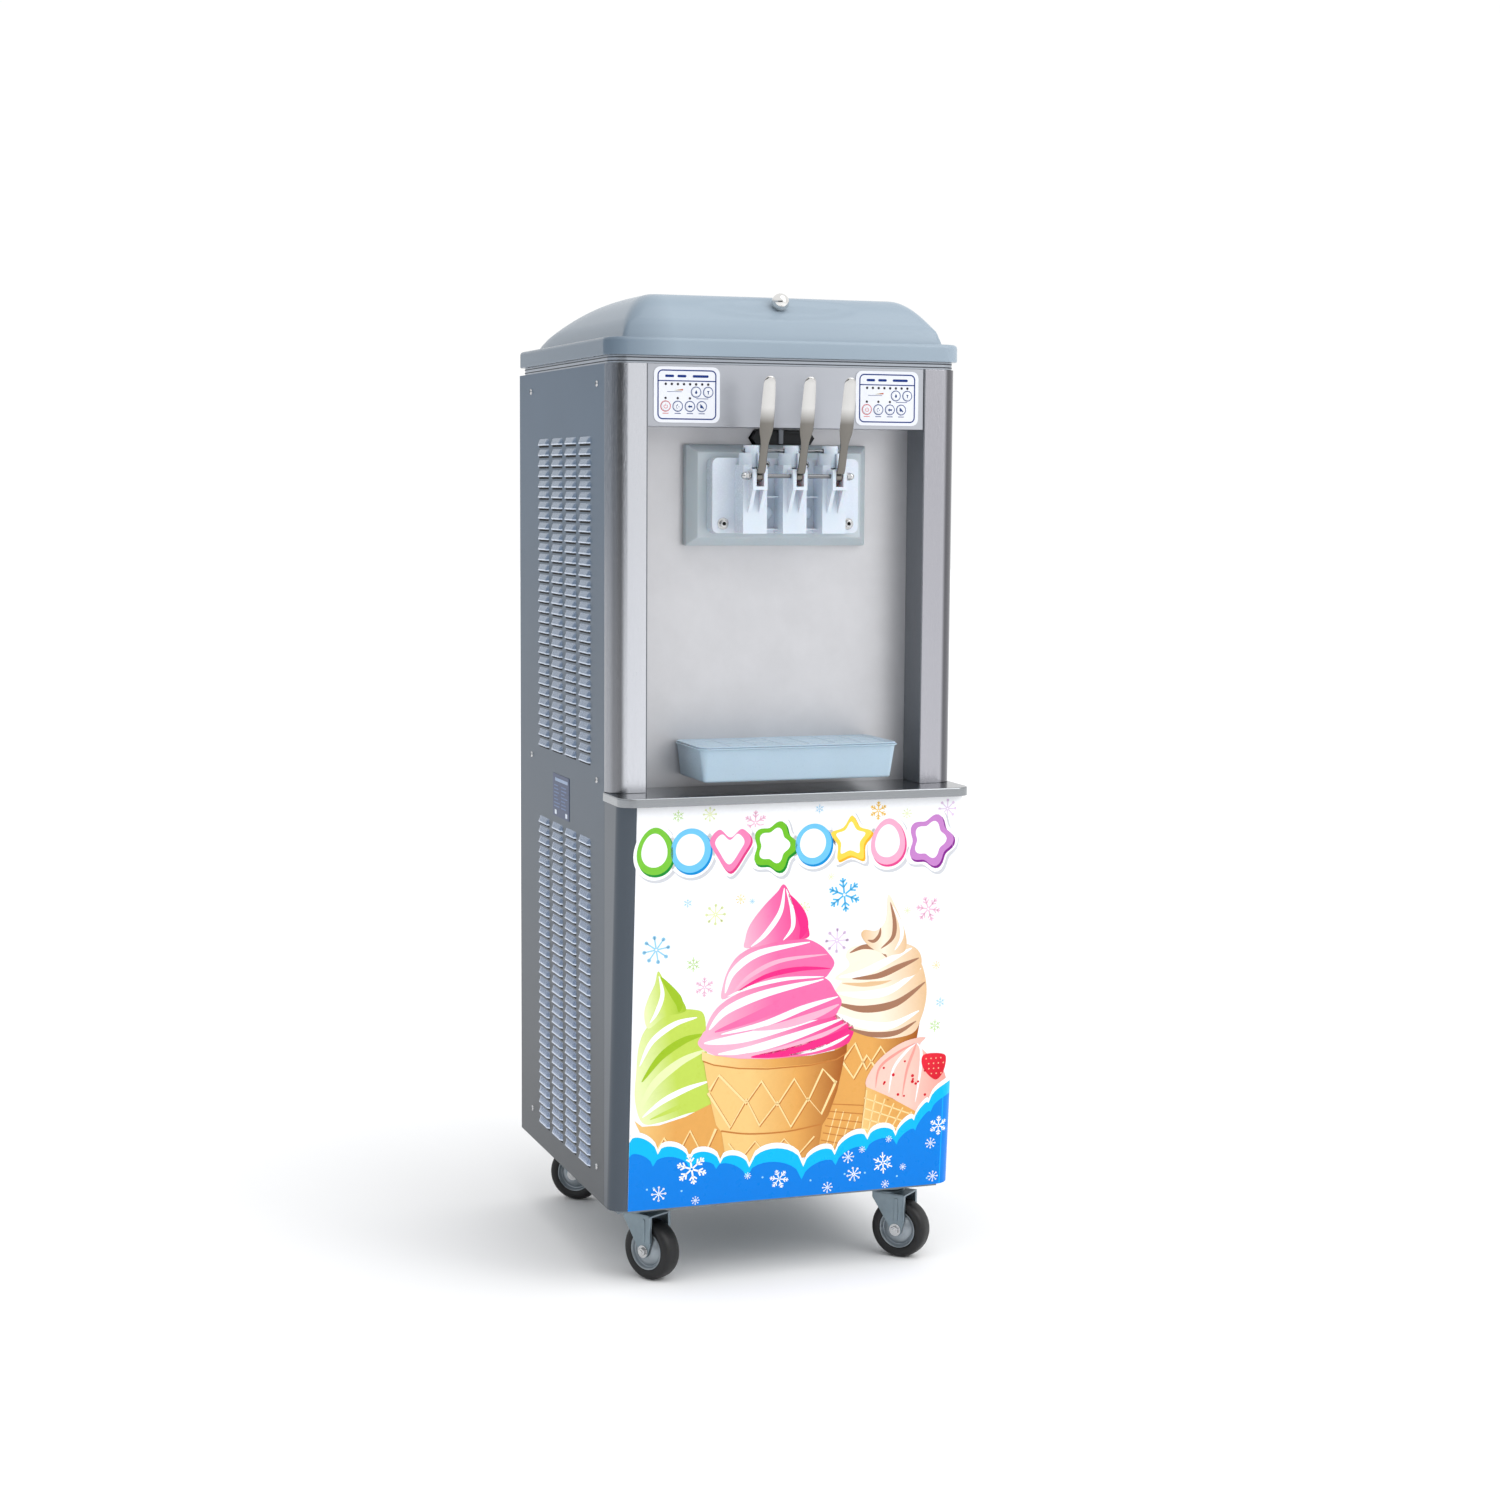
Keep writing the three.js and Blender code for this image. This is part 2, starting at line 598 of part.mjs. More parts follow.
function powerInlet() {
  const gland = turned([
    [5, -6], [10.5, -6], [10.5, GAP], [17, GAP], [17, 5], [14, 6], [14, 15], [9, GLAND_LENGTH], [5, GLAND_LENGTH], [5, -6],
  ], 16);
  return gland.rotateX(-Math.PI / 2);
}

// ---------- castors ----------

// The swivel axis is Z through the origin; the axle lies along X, behind the trail.
function castorFork() {
  const legs = [-1, 1].map((side) => {
    const shape = new THREE.Shape();
    shape.moveTo(22, 96);
    shape.lineTo(-34, 96);
    shape.lineTo(-34, 62);
    shape.absarc(-CASTOR_TRAIL, WHEEL_RADIUS, 10, Math.PI * 1.1, Math.PI * 2.1);
    shape.lineTo(22, 86);
    return prism('X', shape, side < 0 ? -21 : 18, side < 0 ? -18 : 21, 3);
  });
  const crown = box(-21, 21, -34, 22, 93, 97);
  const race = turned([[0, 96], [22, 96], [24, 99], [22, 103], [12, 105.7], [6, 105.7], [6, 119], [0, 119]], 12);
  const axle = rod('X', -CASTOR_TRAIL, WHEEL_RADIUS, 5, -25, 25, 12);
  return join(...legs, crown, race, axle);
}

function castorWheel() {
  const w = WHEEL_HALF_WIDTH;
  const r = WHEEL_RADIUS;
  const profile = [
    [5.4, -w], [15, -w], [23, -w + 5], [27, -w + 5], [29.5, -w + 1], [38, -w + 0.4],
    [r - 1.4, -w + 4.5], [r, -w + 10], [r, w - 10], [r - 1.4, w - 4.5], [38, w - 0.4], [29.5, w - 1],
    [27, w - 5], [23, w - 5], [15, w], [5.4, w], [5.4, -w],
  ];
  return turned(profile, 20).rotateY(Math.PI / 2);
}

// ---------- assembly ----------

add('base_frame', baseFrame(), ZINC);
for (const [name, side] of SIDES) {
  add(`${name}_side_panel`, sidePanel(side), SIDE_PAINT);
  add(`${name}_upper_column`, upperColumn(side), STEEL);
  add(`${name}_lower_cheek`, lowerCheek(side), SIDE_PAINT);
  add(`${name}_hopper`, hopper(side), STEEL);
  add(`${name}_freezing_cylinder`, freezingCylinder(side), STEEL);
  add(`${name}_beater`, beater(), POLISHED).position.set(side * TAP_PITCH, 364, HEAD_Z);
  add(`${name}_keypad`, keypad(), LABEL_WHITE).position.set(side * KEYPAD_X, 0, KEYPAD_Z);
  KEY_PLACES.forEach(([x, z], index) => {
    const key = add(`${name}_key_${index + 1}`, keyCap(), LABEL_WHITE);
    key.position.set(side * KEYPAD_X + x, -0.3, KEYPAD_Z + z);
  });
}
add('rear_panel', rearPanel(), SIDE_PAINT);
add('control_fascia', controlFascia(), STEEL);
add('splash_panel', splashPanel(), STEEL);
add('shelf', shelf(), SHELF_STEEL);
add('front_panel', frontPanel(), FRONT_WHITE);
add('top_frame', topFrame(), STEEL);
add('hopper_lid', hopperLid(), LID_BLUE);
const knob = add('lid_knob', lidKnob(), POLISHED);
knob.position.set(0, 51.8, RIM_TOP + 43.2);
knob.rotation.x = Math.PI * 0.25;
add('drive_unit', driveUnit(), IRON_BLACK);
add('compressor', compressor(), IRON_BLACK).position.set(70, 300, 117 + GAP);
add('condenser', condenser(), ZINC);
add('condenser_fan', condenserFan(), IRON_BLACK).position.set(-165, 268, 320);
add('power_inlet', powerInlet(), IRON_BLACK).position.set(-190, BODY_DEPTH, 190);

add('head_bezel', headBezel(), PALE_BLUE);
add('dispensing_head', dispensingHead(), PALE_BLUE);
add('pivot_rod', rod('X', PIVOT_Y, PIVOT_Z, 3, -80, 80, 16), POLISHED);
add('retaining_bar', rod('X', TAP_AXIS_Y, RETAINER_Z, 2.5, -75, 75, 16), POLISHED);
[['left', -TAP_PITCH], ['middle', 0], ['right', TAP_PITCH]].forEach(([name, x]) => {
  add(`${name}_plunger`, plunger(), PALE_BLUE).position.set(x, TAP_AXIS_Y, 0);
  add(`${name}_handle`, handle(), POLISHED).position.set(x, PIVOT_Y, PIVOT_Z);
});
add('drip_tray', dripTray(), PALE_BLUE);
add('drip_tray_cover', trayCover(), PALE_BLUE);

for (const { name, x, y, turn } of CASTORS) {
  const castor = new THREE.Group();
  castor.position.set(x, y, 0);
  castor.rotation.z = THREE.MathUtils.degToRad(turn);
  machine.add(castor);
  add(`${name}_fork`, castorFork(), ZINC, castor);
  add(`${name}_wheel`, castorWheel(), TYRE_BLACK, castor).position.set(0, -CASTOR_TRAIL, WHEEL_RADIUS);
}

export default object;
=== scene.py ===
import json
import math
import random

import bmesh
import bpy
from mathutils import Matrix, Vector


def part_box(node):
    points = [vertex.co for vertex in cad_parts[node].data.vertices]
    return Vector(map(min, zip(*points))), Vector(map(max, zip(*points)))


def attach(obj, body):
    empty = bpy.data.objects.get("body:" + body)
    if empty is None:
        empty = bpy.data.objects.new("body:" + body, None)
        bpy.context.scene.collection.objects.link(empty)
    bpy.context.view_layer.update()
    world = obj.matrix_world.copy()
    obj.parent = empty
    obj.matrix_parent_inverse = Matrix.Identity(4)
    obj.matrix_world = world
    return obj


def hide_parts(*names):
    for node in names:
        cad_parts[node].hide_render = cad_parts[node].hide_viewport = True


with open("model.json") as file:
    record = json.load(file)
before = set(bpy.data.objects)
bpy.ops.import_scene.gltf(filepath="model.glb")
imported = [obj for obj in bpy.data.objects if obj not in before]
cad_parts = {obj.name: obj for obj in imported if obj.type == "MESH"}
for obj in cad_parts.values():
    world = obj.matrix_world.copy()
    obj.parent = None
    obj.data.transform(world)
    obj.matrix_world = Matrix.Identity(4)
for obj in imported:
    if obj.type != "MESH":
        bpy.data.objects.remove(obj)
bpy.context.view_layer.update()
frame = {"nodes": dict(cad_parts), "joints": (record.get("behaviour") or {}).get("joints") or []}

# ---------- places, in millimetres from the front plane of the upper columns ----------

MM = 0.001
NODES = frame["nodes"]
JOINTS = {joint["name"]: joint for joint in frame["joints"]}
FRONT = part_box("left_upper_column")[0].y
SIDES = (("left", -1), ("right", 1))
TAPS = ("left", "middle", "right")
CASTORS = ("front_left", "front_right", "rear_left", "rear_right")


def at(point):
    """A point of the machine in millimetres, Y from the front plane, as a point of the frame."""
    return Vector((point[0] * MM, FRONT + point[1] * MM, point[2] * MM))


def limits(node):
    """The CAD box of a node in the machine's millimetres: x0, x1, y0, y1, z0, z1."""
    low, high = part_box(node)
    return (
        low.x / MM, high.x / MM, (low.y - FRONT) / MM, (high.y - FRONT) / MM, low.z / MM, high.z / MM,
    )


HALF_WIDTH = limits("right_side_panel")[1]
BODY_BACK = limits("rear_panel")[3]
COLUMN_INNER, _, _, BAY_DEPTH, SHELF_TOP, CABINET_TOP = limits("right_upper_column")
COLUMN_RADIUS = 28
LOWER_RADIUS = 24
SHEET = 1.6
CABINET_BOTTOM = limits("left_lower_cheek")[4]
RIM_TOP = 1392
DOME_HEIGHT = limits("hopper_lid")[5] - RIM_TOP
PANEL_HALF = limits("front_panel")[1]
PANEL_PAN = 16
LEAN = math.radians(4.175)

# ---------- outlines ----------


def arc(u, v, radius, start, end, steps):
    """Points on a circle from one angle to another, in degrees."""
    angles = [math.radians(start + (end - start) * step / steps) for step in range(steps + 1)]
    return [(u + radius * math.cos(a), v + radius * math.sin(a)) for a in angles]


def round_rect(u0, u1, v0, v1, radius, steps=8):
    radius = max(radius, 0.01)
    return (
        arc(u1 - radius, v0 + radius, radius, -90, 0, steps)
        + arc(u1 - radius, v1 - radius, radius, 0, 90, steps)
        + arc(u0 + radius, v1 - radius, radius, 90, 180, steps)
        + arc(u0 + radius, v0 + radius, radius, 180, 270, steps)
    )


def ring(radius, sides, u=0.0, v=0.0):
    return arc(u, v, radius, 0, 360 * (sides - 1) / sides, sides - 1)


def spline(points, steps=6, closed=True):
    """A smooth line through the points."""
    count = len(points)
    result = []
    for index in range(count if closed else count - 1):
        if closed:
            a, b, c, d = (Vector(points[(index + k) % count]) for k in (-1, 0, 1, 2))
        else:
            a, b, c, d = (Vector(points[min(max(index + k, 0), count - 1)]) for k in (-1, 0, 1, 2))
        for step in range(steps):
            t = step / steps
            result.append(tuple(
                0.5 * (2 * b + (c - a) * t + (2 * a - 5 * b + 4 * c - d) * t ** 2
                       + (3 * b - a - 3 * c + d) * t ** 3)
            ))
    if not closed:
        result.append(tuple(points[-1]))
    return result


# ---------- meshes ----------


class Shape:
    """Points in the machine's millimetres, faces between them, and each face's material number."""

    def __init__(self):
        self.points, self.faces, self.slots = [], [], []

    def add(self, points, faces, slot=0):
        start = len(self.points)
        self.points += [Vector(point) for point in points]
        self.faces += [[start + index for index in face] for face in faces]
        self.slots += [slot] * len(faces)
        return self

    def join(self, other, matrix=None):
        start = len(self.points)
        self.points += [matrix @ point if matrix else point.copy() for point in other.points]
        self.faces += [[start + index for index in face] for face in other.faces]
        self.slots += other.slots
        return self

    def moved(self, matrix):
        return Shape().join(self, matrix)


def loft(loops, slot=0, caps=True, wrap=False):
    """Closed loops of equal length joined side by side; wrap joins the last one to the first."""
    size = len(loops[0])
    points = [point for loop in loops for point in loop]
    pairs = [(row, row + 1) for row in range(len(loops) - 1)]
    if wrap:
        pairs.append((len(loops) - 1, 0))
    faces = [
        (a * size + k, a * size + (k + 1) % size, b * size + (k + 1) % size, b * size + k)
        for a, b in pairs for k in range(size)
    ]
    if caps and not wrap:
        faces.append(tuple(reversed(range(size))))
        faces.append(tuple(range(len(points) - size, len(points))))
    return Shape().add(points, faces, slot)


def lathe(profile, sides=48, slot=0):
    """A turned piece about Z. A profile of (radius, height) that isn't on the axis closes on itself."""
    open_ends = [profile[0][0] > 0, profile[-1][0] > 0]
    rows = [(radius, height) for radius, height in profile if radius > 0]
    loops = [[(x, y, height) for x, y in ring(radius, sides)] for radius, height in rows]
    shape = loft(loops, slot, caps=False, wrap=all(open_ends))
    for end, (is_open, (_, height)) in enumerate(zip(open_ends, (profile[0], profile[-1]))):
        if is_open:
            continue
        start = 0 if end == 0 else (len(rows) - 1) * sides
        tip = len(shape.points)
        shape.points.append(Vector((0, 0, height)))
        for k in range(sides):
            shape.faces.append([start + k, start + (k + 1) % sides, tip])
            shape.slots.append(slot)
    return shape


def plate(outline, low, high, slot=0, round_over=0.0, axis="Z"):
    """A flat piece between two heights, its outline in the other two axes and its rims rounded over."""
    steps = 3 if round_over else 0
    rows = []
    for step in range(steps + 1):
        angle = math.radians(90 * step / steps) if steps else math.pi / 2
        rows.append((round_over * (1 - math.sin(angle)), low + round_over * (1 - math.cos(angle))))
    rows += [(inset, high + low - height) for inset, height in reversed(rows)]
    loops = []
    for inset, height in rows:
        loop = shrink(outline, inset) if inset > 1e-6 else outline
        loops.append([lift(u, v, height, axis) for u, v in loop])
    return loft(loops, slot)


def lift(u, v, height, axis):
    """A point of a flat outline at a height along one axis."""
    if axis == "X":
        return (height, u, v)
    if axis == "Y":
        return (u, height, v)
    return (u, v, height)


def shrink(outline, inset):
    """The outline moved inwards, by the mean normal of each corner."""
    count = len(outline)
    area = sum(
        outline[k][0] * outline[(k + 1) % count][1] - outline[(k + 1) % count][0] * outline[k][1]
        for k in range(count)
    )
    turn = 1 if area > 0 else -1
    result = []
    for k in range(count):
        before, here, after = (Vector(outline[(k + step) % count]) for step in (-1, 0, 1))
        first, second = (here - before), (after - here)
        normals = [Vector((-side.y, side.x)).normalized() for side in (first, second) if side.length > 1e-6]
        normal = sum(normals, Vector((0, 0)))
        if normal.length < 1e-6:
            result.append(tuple(here))
            continue
        normal.normalize()
        stretch = max(normal.dot(normals[0]), 0.5)
        result.append(tuple(here + turn * normal * inset / stretch))
    return result


def swept(place, section):
    """A closed band: place(inset, height) gives a loop for each point of the section."""
    return loft([place(inset, height) for inset, height in section], wrap=True)


def turned_to(axis):
    """Turns +Z to the wanted axis."""
    return Vector((0, 0, 1)).rotation_difference(Vector(axis)).to_matrix().to_4x4()


def placed(x, y, z, axis=(0, 0, 1)):
    return Matrix.Translation((x, y, z)) @ turned_to(axis)


def angle_smoother():
    """A modifier tree that shades smooth, with edges sharper than the angle left sharp."""
    tree = bpy.data.node_groups.new("smooth_by_angle", "GeometryNodeTree")
    tree.interface.new_socket("Geometry", in_out="INPUT", socket_type="NodeSocketGeometry")
    tree.interface.new_socket("Geometry", in_out="OUTPUT", socket_type="NodeSocketGeometry")
    node_in = tree.nodes.new("NodeGroupInput")
    node_out = tree.nodes.new("NodeGroupOutput")
    faces = tree.nodes.new("GeometryNodeSetShadeSmooth")
    edges = tree.nodes.new("GeometryNodeSetShadeSmooth")
    edges.domain = "EDGE"
    edges.inputs["Shade Smooth"].default_value = False
    angle = tree.nodes.new("GeometryNodeInputMeshEdgeAngle")
    compare = tree.nodes.new("FunctionNodeCompare")
    compare.operation = "GREATER_THAN"
    compare.inputs[1].default_value = math.radians(38)
    tree.links.new(node_in.outputs[0], faces.inputs["Geometry"])
    tree.links.new(faces.outputs[0], edges.inputs["Geometry"])
    tree.links.new(angle.outputs[0], compare.inputs[0])
    tree.links.new(compare.outputs[0], edges.inputs["Selection"])
    tree.links.new(edges.outputs[0], node_out.inputs[0])
    return tree


SMOOTHER = angle_smoother()


def soften(obj, bevel=0.0, segments=2, clean=False):
    """Bevels the sharp edges by a width in millimetres and shades the rest smooth."""
    if clean:
        weld = obj.modifiers.new("weld", "WELD")
        weld.merge_threshold = 0.00002
        dissolve = obj.modifiers.new("dissolve", "DECIMATE")
        dissolve.decimate_type = "DISSOLVE"
        dissolve.angle_limit = math.radians(0.6)
    if bevel:
        modifier = obj.modifiers.new("bevel", "BEVEL")
        modifier.width = bevel * MM
        modifier.segments = segments
        modifier.limit_method = "ANGLE"
        modifier.angle_limit = math.radians(35)
        modifier.use_clamp_overlap = True
    smooth = obj.modifiers.new("smooth", "NODES")
    smooth.node_group = SMOOTHER
    normals = obj.modifiers.new("normals", "WEIGHTED_NORMAL")
    normals.keep_sharp = True


def piece(name, shape, materials, body, stands_for=(), bevel=0.0, inks=None):
    """Makes the object of a shape, rides it on its body and hides the CAD nodes it stands for."""
    mesh = bpy.data.meshes.new(name)
    mesh.from_pydata([at(point) for point in shape.points], [], shape.faces)
    mesh.polygons.foreach_set("material_index", shape.slots)
    build = bmesh.new()
    build.from_mesh(mesh)
    bmesh.ops.recalc_face_normals(build, faces=build.faces)
    build.to_mesh(mesh)
    build.free()
    if inks:
        layer = mesh.attributes.new("ink", "FLOAT_COLOR", "POINT")
        for index, ink in enumerate(inks):
            layer.data[index].color = (*ink, 1)
    obj = bpy.data.objects.new(name, mesh)
    bpy.context.scene.collection.objects.link(obj)
    for material in materials if isinstance(materials, (list, tuple)) else [materials]:
        mesh.materials.append(material)
    if not inks:
        soften(obj, bevel)
    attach(obj, body)
    if stands_for:
        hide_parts(*stands_for)
    return obj


# ---------- materials ----------


def srgb(red, green, blue):
    """A colour given in 0 to 255 as linear values."""
    values = [channel / 255 for channel in (red, green, blue)]
    return tuple(v / 12.92 if v <= 0.04045 else ((v + 0.055) / 1.055) ** 2.4 for v in values)


class Nodes:
    """A material's node tree with its principled shader."""

    def __init__(self, name):
        self.material = bpy.data.materials.new(name)
        self.material.use_nodes = True
        self.tree = self.material.node_tree
        self.shader = self.tree.nodes["Principled BSDF"]
        self.coordinates = self.new("ShaderNodeTexCoord").outputs["Object"]

    def new(self, kind, **settings):
        node = self.tree.nodes.new(kind)
        for key, value in settings.items():
            setattr(node, key, value)
        return node

    def link(self, source, target):
        self.tree.links.new(source, target)
        return target

    def noise(self, scale, stretch=(1, 1, 1), detail=4, roughness=0.55):
        mapping = self.new("ShaderNodeMapping")
        mapping.inputs["Scale"].default_value = stretch
        self.link(self.coordinates, mapping.inputs["Vector"])
        noise = self.new("ShaderNodeTexNoise")
        noise.inputs["Scale"].default_value = scale
        noise.inputs["Detail"].default_value = detail
        noise.inputs["Roughness"].default_value = roughness
        self.link(mapping.outputs["Vector"], noise.inputs["Vector"])
        return noise.outputs["Fac"]

    def spread(self, value, low, high, from_low=0.3, from_high=0.7):
        node = self.new("ShaderNodeMapRange")
        for socket, number in zip(node.inputs[1:5], (from_low, from_high, low, high)):
            socket.default_value = number
        self.link(value, node.inputs[0])
        return node.outputs[0]

    def mix(self, factor, first, second, blend="MIX"):
        node = self.new("ShaderNodeMix", data_type="RGBA", blend_type=blend)
        if isinstance(factor, (int, float)):
            node.inputs[0].default_value = factor
        else:
            self.link(factor, node.inputs[0])
        for socket, value in zip(node.inputs[6:8], (first, second)):
            if isinstance(value, tuple):
                socket.default_value = (*value, 1)
            else:
                self.link(value, socket)
        return node.outputs[2]

    def bump(self, height, distance, strength=1.0):
        node = self.new("ShaderNodeBump")
        node.inputs["Distance"].default_value = distance
        node.inputs["Strength"].default_value = strength
        self.link(height, node.inputs["Height"])
        self.link(node.outputs["Normal"], self.shader.inputs["Normal"])


def surface(name, colour, metallic=0.0, roughness=0.4, mottle=0.06, mottle_scale=9, grain_scale=900,
            grain_stretch=(1, 1, 1), grain_depth=0.00003, rough_spread=0.06, fade=None, fade_axis="Z",
            **sockets):
    """Colour with slow blotches, uneven roughness and fine grain; fade is start, end, first colour, a
    gradient along one object axis that here paints in light and shade.
    """
    nodes = Nodes(name)
    base = colour
    if fade:
        low, high, other = fade
        split = nodes.new("ShaderNodeSeparateXYZ")
        nodes.link(nodes.coordinates, split.inputs[0])
        base = nodes.mix(nodes.spread(split.outputs[fade_axis], 0, 1, low, high), other, colour)
    dark = nodes.mix(1.0, base, (1 - mottle,) * 3, "MULTIPLY")
    light = nodes.mix(1.0, base, (1 + mottle,) * 3, "MULTIPLY")
    blotch = nodes.noise(mottle_scale, grain_stretch if min(grain_stretch) < 0.5 else (1, 1, 1))
    nodes.link(nodes.mix(nodes.spread(blotch, 0, 1), dark, light), nodes.shader.inputs["Base Color"])
    grain = nodes.noise(grain_scale, grain_stretch, detail=3)
    nodes.link(
        nodes.spread(grain, max(roughness - rough_spread, 0.02), roughness + rough_spread),
        nodes.shader.inputs["Roughness"],
    )
    nodes.bump(grain, grain_depth)
    nodes.shader.inputs["Metallic"].default_value = metallic
    for socket, value in sockets.items():
        nodes.shader.inputs[socket.replace("_", " ")].default_value = value
    return nodes.material


def brushed(name, colour, roughness=0.3, stretch=(1, 1, 0.03), **more):
    return surface(
        name, colour, metallic=more.pop("metallic", 1.0), roughness=roughness,
        mottle=more.pop("mottle", 0.05),
        mottle_scale=14, grain_scale=1500, grain_stretch=stretch, grain_depth=0.000012, **more,
    )


def fill_ramp(node, stops):
    """Gives a colour ramp its stops, each a position and a colour."""
    places = node.color_ramp.elements
    for index, (position, colour) in enumerate(stops):
        stop = places[index] if index < 2 else places.new(position)
        stop.position = position
        stop.color = (*colour, 1)


def column_steel(colour):
    """Brushed column sheet with a painted dark reflection: darker where it turns the round corner."""
    material = brushed("column_sheet_painted_reflection", colour, 0.22, (1, 1, 0.05), mottle=0.025)
    tree = material.node_tree
    shader = tree.nodes["Principled BSDF"]
    steel = shader.inputs["Base Color"].links[0].from_socket
    place = tree.nodes.new("ShaderNodeTexCoord")
    split = tree.nodes.new("ShaderNodeSeparateXYZ")
    tree.links.new(place.outputs["Object"], split.inputs[0])
    across = tree.nodes.new("ShaderNodeMath")
    across.operation = "ABSOLUTE"
    tree.links.new(split.outputs["X"], across.inputs[0])
    share = tree.nodes.new("ShaderNodeMapRange")
    share.inputs["From Min"].default_value = COLUMN_INNER * MM
    share.inputs["From Max"].default_value = HALF_WIDTH * MM
    tree.links.new(across.outputs[0], share.inputs[0])
    ramp = tree.nodes.new("ShaderNodeValToRGB")
    ramp.color_ramp.interpolation = "EASE"
    # painted dark reflection: the sheet is multiplied darker across the round corner
    painted_reflection_tones = ((0.58, 1.0), (0.70, 0.30), (0.84, 0.34), (0.95, 0.55))
    fill_ramp(ramp, [(position, (tone, tone * 1.01, tone * 1.03)) for position, tone in painted_reflection_tones])
    tree.links.new(share.outputs[0], ramp.inputs["Fac"])
    mix = tree.nodes.new("ShaderNodeMix")
    mix.data_type = "RGBA"
    mix.blend_type = "MULTIPLY"
    mix.inputs[0].default_value = 1
    tree.links.new(steel, mix.inputs[6])
    tree.links.new(ramp.outputs["Color"], mix.inputs[7])
    tree.links.new(mix.outputs[2], shader.inputs["Base Color"])
    return material


def ink_film(name, roughness=0.3):
    """Printed film: the ink colour held by the mesh, with a little unevenness."""
    nodes = Nodes(name)
    ink = nodes.new("ShaderNodeAttribute", attribute_name="ink").outputs["Color"]
    shade = nodes.mix(nodes.spread(nodes.noise(160), 0, 1), (0.97,) * 3, (1.0,) * 3)
    nodes.link(nodes.mix(1.0, ink, shade, "MULTIPLY"), nodes.shader.inputs["Base Color"])
    nodes.link(
        nodes.spread(nodes.noise(60), roughness - 0.05, roughness + 0.06), nodes.shader.inputs["Roughness"]
    )
    nodes.bump(nodes.noise(700, detail=2), 0.00001)
    nodes.shader.inputs["Specular IOR Level"].default_value = 0.15
    return nodes.material


STEEL_FRONT = surface(
    "splash_sheet", srgb(203, 203, 206), 0.7, 0.42, 0.03, 22, 420, (1, 1, 1), 0.00001, 0.05
)
# both columns carry a painted dark reflection at the corner, and the right one is a darker copy of the same
# steel: painted shade
STEEL_COLUMN_PAINTED_SHADE = {-1: column_steel(srgb(206, 207, 211)), 1: column_steel(srgb(176, 175, 180))}
# the return facing the bay is a darker copy of the column steel: painted shade
STEEL_RETURN_PAINTED_SHADE = brushed("column_return_painted_shade", srgb(112, 116, 122), 0.4, (1, 1, 0.05), metallic=0.6, mottle=0.03)
STEEL_FASCIA = brushed("fascia_sheet", srgb(180, 183, 190), 0.34, (0.05, 1, 1), mottle=0.025)
STEEL_SHELF = brushed("shelf_sheet", srgb(150, 153, 156), 0.2, (0.05, 1, 1), mottle=0.03)
STEEL_TOP = brushed("top_sheet", srgb(168, 174, 182), 0.34, (0.02, 1, 1))
STEEL_TANK = brushed("tank_sheet", srgb(176, 178, 181), 0.42, (0.05, 1, 1), metallic=0.4, mottle=0.03)
# side paint lighter and bluer towards the top, darker and greyer towards the bottom: a painted reflection
SIDE_PAINT_PAINTED_REFLECTION = surface(
    "side_paint", srgb(78, 97, 116), 0.3, 0.42, 0.04, 5, 900, (1, 1, 1), 0.00001, 0.05,
    fade=(0.2, 1.25, srgb(66, 71, 76)),
)
CHEEK_PAINT = surface(
    "cheek_paint", srgb(76, 84, 93), 0.6, 0.34, 0.03, 6, 900, (1, 1, 1), 0.00001, 0.04,
)
# louvre hoods coloured lighter and bluer than the side sheet they are pressed from, and lighter still
# towards the bottom: painted light
LOUVRE_PAINTED_LIGHT = surface(
    "louvre_painted_light", srgb(126, 142, 162), 0.7, 0.26, 0.04, 6, 900, (1, 1, 1), 0.00001, 0.05,
    fade=(0.25, 1.15, srgb(140, 154, 178)),
)
# near-white on the hood lips: a painted highlight
LOUVRE_LIP_HIGHLIGHT = surface("louvre_lip_painted_highlight", srgb(214, 224, 240), 0.6, 0.26, 0.04, 6, 900, (1, 1, 1), 0.00001, 0.05)
FRAME_ZINC = surface("frame_zinc", srgb(120, 130, 136), 0.7, 0.45, 0.12, 40, 500, (1, 1, 1), 0.00004)
# near-black for painted shade in louvre slots and screw recesses
PAINTED_SHADE_DARK = surface("painted_shade_dark", srgb(14, 15, 17), 0.0, 0.8, 0.1, 30, 300, (1, 1, 1), 0.00004)
BLACK_PLASTIC = surface("black_plastic", srgb(26, 27, 30), 0.0, 0.5, 0.12, 40, 1200, (1, 1, 1), 0.00005)
BLACK_RUBBER = surface("black_rubber", srgb(9, 9, 11), 0.0, 0.5, 0.2, 90, 700, (1, 1, 1), 0.00012)
GREY_SEAL = surface("grey_seal", srgb(66, 70, 76), 0.0, 0.6, 0.1, 60, 900, (1, 1, 1), 0.00005)
GREY_PLASTIC = surface("grey_plastic", srgb(150, 153, 158), 0.0, 0.45, 0.06, 40, 1200, (1, 1, 1), 0.00004)
